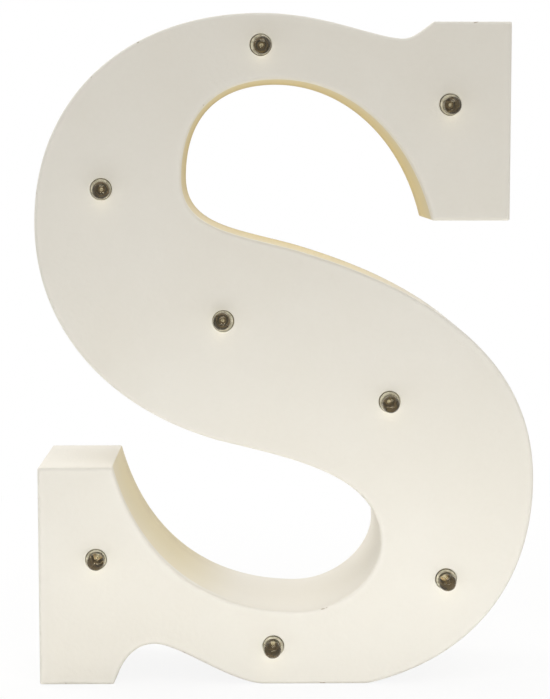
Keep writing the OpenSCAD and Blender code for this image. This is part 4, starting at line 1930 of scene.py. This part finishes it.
@dataclass
class Lights:
    """The eight clear lights, their metal, phosphor and glue."""

    spots: Sequence[Point]
    turns: Sequence[float]
    leans: Sequence[Point] = LIGHT_LEANS
    lean: float = 2.0
    pivot: float = 1.5
    foot: float = 4.0
    collar_r: float = 2.43
    collar_top: float = 4.10
    radius: float = 2.1
    length: float = 8.6
    rim_r: float = 2.9
    lead: float = 10.0
    lead_x: float = 1.27
    chip_x: float = -0.04
    off_centre: float = 0.2

    def places(self) -> list[Matrix]:
        """Gives where each light stands: dome along Z, anode on the high X side.

        Returns:
            A matrix for each light.
        """
        made = []
        for (x, z), turn, (right, up) in zip(self.spots, self.turns, self.leans):
            pivot = Matrix.Translation((x, FACE_Y + self.pivot, z))
            sway = Euler((math.radians(-self.lean * up), 0, math.radians(self.lean * right))).to_matrix().to_4x4()
            stand = Matrix.Translation((0, self.foot - self.pivot, 0)) @ Matrix.Rotation(math.pi / 2, 4, "X")
            made.append(pivot @ sway @ stand @ Matrix.Rotation(turn, 4, "Z"))
        return made

    def build(self) -> None:
        """Builds lenses, posts, anvils, chips and glue."""
        places = self.places()
        offs = [
            Matrix.Rotation(-turn, 3, "Z") @ Vector((right, up, 0)) * self.off_centre
            for turn, (right, up) in zip(self.turns, self.leans)
        ]
        for number, (place, off) in enumerate(zip(places, offs), 1):
            self._lens(number, place, off)
        inner = [place @ Matrix.Translation(off) for place, off in zip(places, offs)]
        set_copies("led_anodes", self._post(), inner, Slot.LEAD_WIRE)
        set_copies("led_cathodes", self._anvil(), inner, Slot.LEAD_WIRE)
        set_copies("led_chips", self._chip(), inner, Slot.PHOSPHOR)
        set_copies("led_glue", self._glue(), places, Slot.HOT_GLUE)

    def _lens(self, number: int, place: Matrix, off: Vector) -> None:
        """Casts one lens, its dome a little off the middle of its collar.

        Args:
            number: the light's number.
            place: where it stands.
            off: how far its dome is off.
        """
        r, top, c, step = self.radius, self.length - self.radius, self.collar_r, self.collar_top
        profile = [(0.0, 0.0), (self.rim_r - 0.15, 0.0), (self.rim_r, 0.15), (self.rim_r, 0.86)]
        profile += [(self.rim_r - 0.12, 1.0), (c + 0.06, 1.0), (c, 1.08), (c, 3.0), (c, step - 0.14)]
        profile += [(c - 0.05, step - 0.04), (c - 0.14, step), (r + 0.10, step), (r + 0.03, step + 0.03)]
        profile += [(r, step + 0.10), (r, 5.2), (r, top)]
        profile += [(r * math.cos(a), top + r * math.sin(a)) for a in np.linspace(0.12, math.pi / 2 - 0.08, 14)]
        profile += [(0.0, self.length)]
        node = f"led_lens_{number}"
        blank = Blank().lathe(profile, 64, Matrix(), -c - 0.1)
        for vertex in blank.bm.verts:
            if vertex.co.z > step + 0.01:
                vertex.co += off
        blank.bm.transform(place)
        piece = blank.piece(node)
        # Clear resin lets the studio's light through to the paint
        piece.visible_shadow = False
        dress(piece, node, Slot.CLEAR_EPOXY)

    @staticmethod
    def _upright(outline: Sequence[Point]) -> Blank:
        """Stamps a flat shape, drawn in X and height, from sheet half a millimetre thick."""
        return Blank().prism(outline, -0.25, 0.25, Matrix(), 0.06, 2)

    def _solder(self, blank: Blank, x: float) -> Blank:
        """Adds the drop of solder at the end of a lead.

        Args:
            blank: the lead.
            x: where the lead is.

        Returns:
            The lead with its drop.
        """
        end = -self.lead
        drop = [(0.0, end - 1.0), (0.5, end - 0.9), (0.85, end - 0.5), (0.8, end)]
        drop += [(0.5, end + 0.7), (0.3, end + 1.2), (0.0, end + 1.3)]
        return blank.lathe(drop, 16, Matrix.Translation((x, 0, 0)))

    def _post(self) -> Blank:
        """Stamps the anode with its flag and the fine wire to the chip.

        Returns:
            The anode as a blank.
        """
        end = -self.lead
        outline = [(1.02, end), (1.52, end), (1.52, 4.9), (1.3, 5.16), (0.9, 5.16), (0.9, 4.5), (1.02, 3.66)]
        post = self._solder(self._upright(outline), self.lead_x)
        arch = [Vector(p) for p in ((-0.1, 0, 4.9), (0.0, 0, 5.35), (0.3, 0, 5.65), (0.75, 0, 5.5), (1.05, 0, 5.15))]
        return post.take(DRAWER.wire(arch, 0.035, Slot.LEAD_WIRE, 6))

    def _anvil(self) -> Blank:
        """Stamps the cathode with its anvil and turns the bright cup in it.

        Returns:
            The cathode as a blank.
        """
        end = -self.lead
        outline = [(-1.02, end), (-1.02, 2.5), (-0.2, 2.9), (0.4, 3.5), (0.4, 4.5)]
        outline += [(-1.33, 4.7), (-1.52, 4.5), (-1.52, end)]
        anvil = self._solder(self._upright(outline), -self.lead_x)
        cup = [(0.0, 4.2), (0.42, 4.25), (0.56, 4.6), (0.58, 4.96), (0.52, 4.99), (0.30, 4.70), (0.0, 4.68)]
        return anvil.lathe(cup, 28, Matrix.Translation((self.chip_x, 0, 0)))

    def _chip(self) -> Blank:
        """Drops phosphor over the chip in the cup."""
        drop = [(0.0, 4.69), (0.11, 4.70), (0.15, 4.75), (0.13, 4.81), (0.07, 4.85), (0.0, 4.86)]
        return Blank().lathe(drop, 24, Matrix.Translation((self.chip_x, 0, 0)))

    def _glue(self) -> Blank:
        """Lays the lumpy ring of glue round the rim.

        Returns:
            The glue as a blank.
        """
        inner, sides = self.rim_r + 0.05, 60
        section = [(0.0, 1.0), (1.0, 1.0), (1.9, 0.96), (1.75, 0.55), (1.2, -0.1), (0.6, -0.55), (0.0, -0.6)]
        rings = []
        for i in range(sides):
            t = math.tau * i / sides
            swell = 0.90 + 0.07 * math.sin(3 * t + 0.6) + 0.03 * math.sin(7 * t)
            ring = []
            for out, height in section:
                r = inner + out * swell
                level = height if height > 0.9 else height * swell
                ring.append(Vector((r * math.cos(t), r * math.sin(t), level)))
            rings.append(ring)
        return Blank().hoop(rings)


def box(low_x: float, high_x: float, low_z: float, high_z: float) -> list[Point]:
    """Gives the corners of a rectangle in X and Z."""
    return [(low_x, low_z), (high_x, low_z), (high_x, high_z), (low_x, high_z)]


def plain_points(rows: np.ndarray) -> list[Point]:
    """Gives the points of a drawn line without its normals."""
    return [(float(x), float(z)) for x, z in rows[:, :2]]


@dataclass
class BatteryBox:
    """The case let into the back panel, its sliding cover, cells and contacts."""

    offset: float = 5.75
    middle: float = 28.8
    cell_end: float = 25.0
    spring_end: float = 24.7
    cover_l: float = 53.4
    cover_w: float = 25.4
    cover_front: float = 34.5
    cover_rear: float = 36.2
    tongue_x: float = 15.81
    flange_rear: float = 34.4
    ridge_steps: Sequence[float] = tuple(-21.7 + 2 * i for i in range(5))

    def build(self) -> None:
        """Builds case, cover, cells, springs, contacts and screws."""
        dress(Blank().solid("battery_case", 0.28, 3).piece("battery_case"), "battery_case", Slot.CASE_PLASTIC)
        self._cover()
        self._cells()
        self._springs()
        for node in ("negative_contact", "positive_contact", "bridge_contact"):
            dress(Blank().solid(node, 0.1).piece(node), node, Slot.PLATED_CONTACT)
        shape = Screw(1.0, 6.0, Head.SUNK, 2.0, 1.0).shape()
        places = [
            SPINE @ Matrix.Translation((x, self.flange_rear, 0)) @ TO_REAR @ Matrix.Rotation(0.5 + x, 4, "Z")
            for x in (-CASE_SCREW_X, CASE_SCREW_X)
        ]
        set_copies("case_screws", shape, places, Slot.SCREW_STEEL)

    def _cover(self) -> None:
        """Builds the cover with its tongues, grip ridges and arrow."""
        slab = plain_points(rounded_rectangle(self.cover_l / 2, self.cover_w / 2, 1.0))
        blank = Blank().prism(slab, self.cover_front, self.cover_rear, SPINE, 0.3)
        for x in (-self.tongue_x, self.tongue_x):
            for side in (-1, 1):
                low, high = sorted((side * (self.cover_w / 2 - 0.6), side * (self.cover_w / 2 + 1.5)))
                blank.prism(box(x - 3, x + 3, low, high), self.cover_front, self.cover_front + 0.7, SPINE, 0.15, 2)
        ridge = Blank().prism(plain_points(rounded_rectangle(0.45, 6.3, 0.4)), -0.3, 0.4, Matrix(), 0.16, 3)
        places = [SPINE @ Matrix.Translation((x, self.cover_rear, 0)) for x in self.ridge_steps]
        blank.take(REPEATER.copies(ridge, places, Slot.COVER_PLASTIC))
        arrow = [(-8.5, 0.0), (-4.5, 3.2), (-4.5, 1.1), (1.5, 1.1), (1.5, -1.1), (-4.5, -1.1), (-4.5, -3.2)]
        blank.prism(arrow, self.cover_rear - 0.3, self.cover_rear + 0.28, SPINE, 0.12, 2)
        dress(blank.piece("battery_cover"), "battery_cover", Slot.COVER_PLASTIC, Body.COVER)

    def _cells(self) -> None:
        """Turns the two cells, head to tail."""
        profile = [(0.0, 0.0), (1.55, 0.0), (1.82, 0.14), (1.89, 0.8), (3.4, 0.86), (4.5, 0.9), (4.85, 1.05)]
        profile += [(5.1, 1.25), (5.25, 1.7), (5.25, 2.6), (5.25, 42.6), (5.25, 43.5), (5.12, 44.0)]
        profile += [(4.6, 44.15), (4.4, 44.42), (4.0, 44.5), (0.0, 44.5)]
        for node, side in (("battery_cell_upper", 1), ("battery_cell_lower", -1)):
            start = Matrix.Translation((side * self.cell_end, self.middle, side * self.offset))
            place = SPINE @ start @ Matrix.Rotation(math.radians(-90 * side), 4, "Y")
            dress(Blank().lathe(profile, 56, place).piece(node), node, Slot.CELL_JACKET)

    def _springs(self) -> None:
        """Winds the two contact springs."""
        blank = Blank()
        for side in (-1, 1):
            start = Matrix.Translation((side * self.spring_end, self.middle, -side * self.offset))
            place = SPINE @ start @ Matrix.Rotation(math.radians(-90 * side), 4, "Y")
            blank.take(COILER.spring(3.57, 2.31, 4.9, 4.0, 0.3, Slot.SPRING_STEEL, place))
        dress(blank.piece("contact_springs"), "contact_springs", Slot.SPRING_STEEL)


@dataclass
class SlideSwitch:
    """The slide switch beside the battery box."""

    seat: float = 33.5
    rest: float = -1.5
    knob_top: float = 35.82

    def build(self) -> None:
        """Builds housing, frame, knob, terminals and screws."""
        here = SPINE @ Matrix.Translation((SWITCH_X, 0, 0))
        dress(Blank().solid("switch_housing", 0.2).piece("switch_housing"), "switch_housing", Slot.SWITCH_BODY)
        terminals = Blank().solid("switch_terminals", 0.1)
        dress(terminals.piece("switch_terminals"), "switch_terminals", Slot.PLATED_CONTACT)
        frame_blank = Blank().solid("switch_frame", 0.12)
        frame_blank.prism(box(-0.16, 0.16, 3.9, 5.1), self.seat - 0.1, self.seat + 0.12, here, 0.04, 2)
        self._ring(frame_blank, here @ Matrix.Translation((0, self.seat, -4.5)) @ TO_REAR)
        dress(frame_blank.piece("switch_frame"), "switch_frame", Slot.SWITCH_STEEL)
        self._knob(here)
        shape = Screw(1.0, 6.0, Head.PAN, 1.9, 1.2).shape()
        places = []
        for side in (-1, 1):
            place = here @ Matrix.Translation((0, self.seat, side * SWITCH_PITCH / 2)) @ TO_REAR
            places.append(place @ Matrix.Rotation(side + 0.4, 4, "Z"))
        set_copies("switch_screws", shape, places, Slot.SCREW_STEEL)

    @staticmethod
    def _ring(blank: Blank, place: Matrix) -> None:
        """Stamps the round mark of the off side.

        Args:
            blank: the frame.
            place: the mark's middle, its axis along Z.
        """
        section = ((0.44, -0.1), (0.44, 0.10), (0.50, 0.12), (0.68, 0.12), (0.74, 0.10), (0.74, -0.1))
        sides = 32
        turns = [math.tau * i / sides for i in range(sides)]
        blank.hoop([[place @ Vector((r * math.cos(t), r * math.sin(t), h)) for r, h in section] for t in turns])

    def _knob(self, here: Matrix) -> None:
        """Builds the knob with its foot and grip.

        Args:
            here: the switch's middle.
        """
        place = here @ Matrix.Translation((0, 0, self.rest))
        blank = Blank().prism(box(-1.9, 1.9, -2.5, 2.5), 31.2, 32.7, place, 0.2, 2)
        blank.prism(box(-1.3, 1.3, -1.5, 1.5), 32.5, self.knob_top, place, 0.22, 3)
        ridge = Blank().prism(box(-1.12, 1.12, -0.2, 0.2), -0.3, 0.26, Matrix(), 0.1, 3)
        places = [place @ Matrix.Translation((0, self.knob_top, z)) for z in (-1.0, -0.33, 0.33, 1.0)]
        blank.take(REPEATER.copies(ridge, places, Slot.KNOB_PLASTIC))
        dress(blank.piece("switch_knob"), "switch_knob", Slot.KNOB_PLASTIC, Body.KNOB)


@dataclass
class Wiring:
    """The wires between the lights, the battery box and the switch."""

    route: Sequence[Point]
    pitch: float = 2.54
    depth: float = 14.75
    radius: float = 0.6

    def build(self) -> None:
        """Draws every wire and the resistor."""
        self._wire("positive_bus_wire", self._bus(1), Slot.RED_INSULATION)
        self._wire("negative_bus_wire", self._bus(-1), Slot.BLACK_INSULATION)
        red = [(-25.3, 18.25, -5.75), (-14, 18.25, -8.75), (16, 18.25, -8.75), (36, 18.25, -6.75)]
        red += [(SWITCH_X, 22.75, -3)]
        black = ((-25.3, 18.25, 5.75), (-21.3, 17.25, 5.25), (-16, 16.1, 1.5))
        feed = ((33, 22, 0), (31.5, 20.05, 0.3), (30.5, 16.6, 0.8), (29, 16.1, 0.8))
        self._wire("battery_red_wire", [SPINE @ Vector(p) for p in red], Slot.RED_INSULATION)
        self._wire("battery_black_wire", [SPINE @ Vector(p) for p in black], Slot.BLACK_INSULATION)
        self._wire("feed_wire", [SPINE @ Vector(p) for p in feed], Slot.RED_INSULATION)
        self._resistor()

    def _wire(self, node: str, points: Sequence[Vector], slot: Slot) -> None:
        """Draws one wire.

        Args:
            node: the solid that it stands for.
            points: where it passes.
            slot: its insulation.
        """
        dress(to_object(f"{node}_finish", DRAWER.wire(points, self.radius, slot)), node, slot)

    def _bus(self, side: int) -> list[Vector]:
        """Gives the route of one of the two wires from light to light.

        Args:
            side: 1 for the positive wire, -1 for the negative one.

        Returns:
            The points that it passes.
        """
        return [
            Vector((x + nx * side * self.pitch / 2, FACE_Y + self.depth, z + nz * side * self.pitch / 2))
            for (x, z), (nx, nz) in zip(self.route, across(self.route))
        ]

    def _resistor(self) -> None:
        """Turns the resistor with its two leads."""
        profile = [(0.0, 0.0), (0.3, 0.02), (0.3, 3.9), (0.75, 4.0), (1.15, 4.35), (1.2, 4.9), (1.12, 5.6), (1.05, 6.2)]
        profile += [(1.05, 8.3), (1.12, 8.9), (1.2, 9.6), (1.15, 10.15), (0.75, 10.5), (0.3, 10.6)]
        profile += [(0.3, 14.48), (0.0, 14.5)]
        place = SPINE @ Matrix.Translation((32.5, 23.05, 0)) @ Matrix.Rotation(math.radians(90), 4, "Y")
        dress(Blank().lathe(profile, 28, place).piece("resistor"), "resistor", Slot.RESISTOR_LACQUER)


def across(route: Sequence[Point]) -> list[Point]:
    """Gives the left-hand normal at each point of a route.

    Args:
        route: the points, in order.

    Returns:
        Unit vectors in X and Z.
    """
    made = []
    for i in range(len(route)):
        a, b = route[max(i - 1, 0)], route[min(i + 1, len(route) - 1)]
        length = math.hypot(b[0] - a[0], b[1] - a[1])
        made.append((-(b[1] - a[1]) / length, (b[0] - a[0]) / length))
    return made


# The studio


@dataclass(frozen=True)
class Lamp:
    """One soft studio lamp."""

    name: str
    place: Place
    aim: Place
    wide: float
    high: float
    power: float
    colour: Colour = WHITE

    def make(self) -> None:
        """Hangs the lamp."""
        data = bpy.data.lights.new(self.name, "AREA")
        data.shape, data.size, data.size_y = "RECTANGLE", self.wide, self.high
        data.energy, data.color = self.power, self.colour
        obj = bpy.data.objects.new(self.name, data)
        obj.location = self.place
        obj.rotation_euler = (Vector(self.aim) - Vector(self.place)).to_track_quat("-Z", "Y").to_euler()
        obj.visible_camera = False
        bpy.context.scene.collection.objects.link(obj)


@dataclass
class Studio:
    """A white floor, soft light and the camera."""

    eye: Place = (-0.0085, -0.46967, 0.12788)
    nod: float = 5.755
    turn: float = 0.745
    lens: float = 97.85
    sensor: float = 36.0
    front_light: Colour = (0.24, 0.24, 0.24)
    rear_light: Colour = (0.86, 0.86, 0.85)
    top_light: Colour = (1.18, 1.18, 1.18)
    floor_half: float = 6.0
    # Share of the floor's own shade that the camera sees near the letter
    shadow: float = 0.11
    lamps: Sequence[Lamp] = (
        Lamp("key", (0.06, -0.48, 0.94), (0.0, 0.0, 0.05), 0.80, 0.60, 4.35),
        Lamp("side", (-0.38, 0.22, 0.32), (-0.03, 0.0, 0.05), 0.25, 0.25, 0.75),
        Lamp("foot", (0.01, -0.105, 0.010), (0.005, 0.0, 0.015), 0.20, 0.02, 0.046, (0.97, 0.99, 1.0)),
        Lamp("catch_right", (0.07, -0.17, 0.012), (0.0, 0.0, 0.10), 0.016, 0.016, 0.012),
        Lamp("catch_left", (-0.06, -0.17, 0.012), (0.0, 0.0, 0.10), 0.016, 0.016, 0.012),
        Lamp("rear", (0.10, 0.55, 0.32), (0.0, 0.0, 0.08), 0.40, 0.40, 0.6),
    )

    def build(self) -> None:
        """Sets up camera, lamps, surroundings and floor."""
        data = bpy.data.cameras.new("camera")
        data.lens, data.sensor_width, data.clip_start = self.lens, self.sensor, 0.01
        camera = bpy.data.objects.new("camera", data)
        camera.location = self.eye
        camera.rotation_euler = (math.radians(90 - self.nod), 0, math.radians(-self.turn))
        bpy.context.scene.collection.objects.link(camera)
        bpy.context.scene.camera = camera
        bpy.context.scene.view_settings.view_transform = "Standard"
        for lamp in self.lamps:
            lamp.make()
        self._surroundings()
        self._floor()

    @staticmethod
    def _seen(mix: Mixture) -> Tone:
        """Finds what the camera sees, also in metal and through glass.

        Args:
            mix: the mixture that asks.

        Returns:
            1 for what it sees, and otherwise 0.
        """
        kinds = ("Is Camera Ray", "Is Glossy Ray", "Is Transmission Ray")
        seen = [mix.node("ShaderNodeLightPath", output=kind) for kind in kinds]
        return seen[0].most(seen[1]).most(seen[2])

    def _surroundings(self) -> None:
        """Fills the world with soft white light, strongest from above and weakest in front, where the lamps are."""
        mix = Sky("surroundings")
        way = mix.node("ShaderNodeTexCoord", output="Generated")
        behind = mix.node("ShaderNodeSeparateXYZ", sockets={0: way}, output="Y").smooth(-0.25, 0.30)
        above = mix.node("ShaderNodeSeparateXYZ", sockets={0: way}, output="Z").smooth(0.45, 0.90)
        soft = mix.blend(behind, self.front_light, self.rear_light)
        soft = mix.blend(above * behind, soft, self.top_light)
        tint = mix.blend(self._seen(mix), soft, WHITE)
        light = mix.node("ShaderNodeBackground", sockets={"Color": tint, "Strength": 1.0})
        bpy.context.scene.world = mix.out(light)

    def _floor(self) -> None:
        """Lays the pale floor, white to the camera but for the object's shadow."""
        mix = Mixture("floor")
        place = mix.place()
        grain = mix.noise(place, 30, 3)
        tint = mix.blend(grain, (0.80, 0.79, 0.77), (0.84, 0.83, 0.81))
        away = mix.node("ShaderNodeVectorMath", {"operation": "LENGTH"}, {0: place}, "Value")
        clear = (1 - self.shadow) + away.smooth(0.07, 0.26) * self.shadow
        lit = mix.node("ShaderNodeBsdfDiffuse", sockets={"Color": tint})
        white = mix.node("ShaderNodeEmission", sockets={"Color": (1, 1, 1, 1), "Strength": 1.0})
        both = mix.node("ShaderNodeMixShader", sockets={0: self._seen(mix) * clear, 1: lit, 2: white})
        mesh = bpy.data.meshes.new("floor")
        half = self.floor_half
        mesh.from_pydata([(-half, -half, 0), (half, -half, 0), (half, half, 0), (-half, half, 0)], [], [(0, 1, 2, 3)])
        mesh.materials.append(mix.out(both))
        to_object("floor", mesh)


# Where the wires run from light to light, and which of its points have a light
ROUTE: tuple[Point, ...] = (
    *((39, 140.5), (28, 148), (12, 151.5), (-6, 154.5), (-27, 150), (-39, 138), (-44, 120.5)),
    *((-41, 104), (-30, 94.5), (-15, 89), (5, 79.5), (25, 69.5), (37, 57), (41.5, 42)),
    *((39, 26), (29, 15), (13, 9.5), (-3, 9.5), (-19, 13.5), (-33, 21), (-46, 31)),
)
LIGHT_STOPS = (0, 3, 6, 9, 11, 14, 17, 20)
# Where the back panel is screwed on, and where it hangs
BLOCKS = ((45, 121), (-48, 130), (-47, 93), (51, 46), (-51, 45), (-51, 9))
KEYHOLES = ((-40, 134), (44, 134))


def main() -> None:
    """Builds the letter lamp and its studio, piece by piece."""
    logging.basicConfig(level=logging.INFO, format="%(name)s %(message)s")
    outline = Outline(RUNS)
    spots = [ROUTE[i] for i in LIGHT_STOPS]
    sideways = across(ROUTE)
    turns = [math.atan2(sideways[i][1], sideways[i][0]) for i in LIGHT_STOPS]
    Studio().build()
    LetterShell(outline, spots).build()
    BackPanel(outline, BLOCKS, KEYHOLES).build()
    Lights(spots, turns).build()
    BatteryBox().build()
    SlideSwitch().build()
    Wiring(ROUTE).build()


if __name__ == "__main__":
    main()
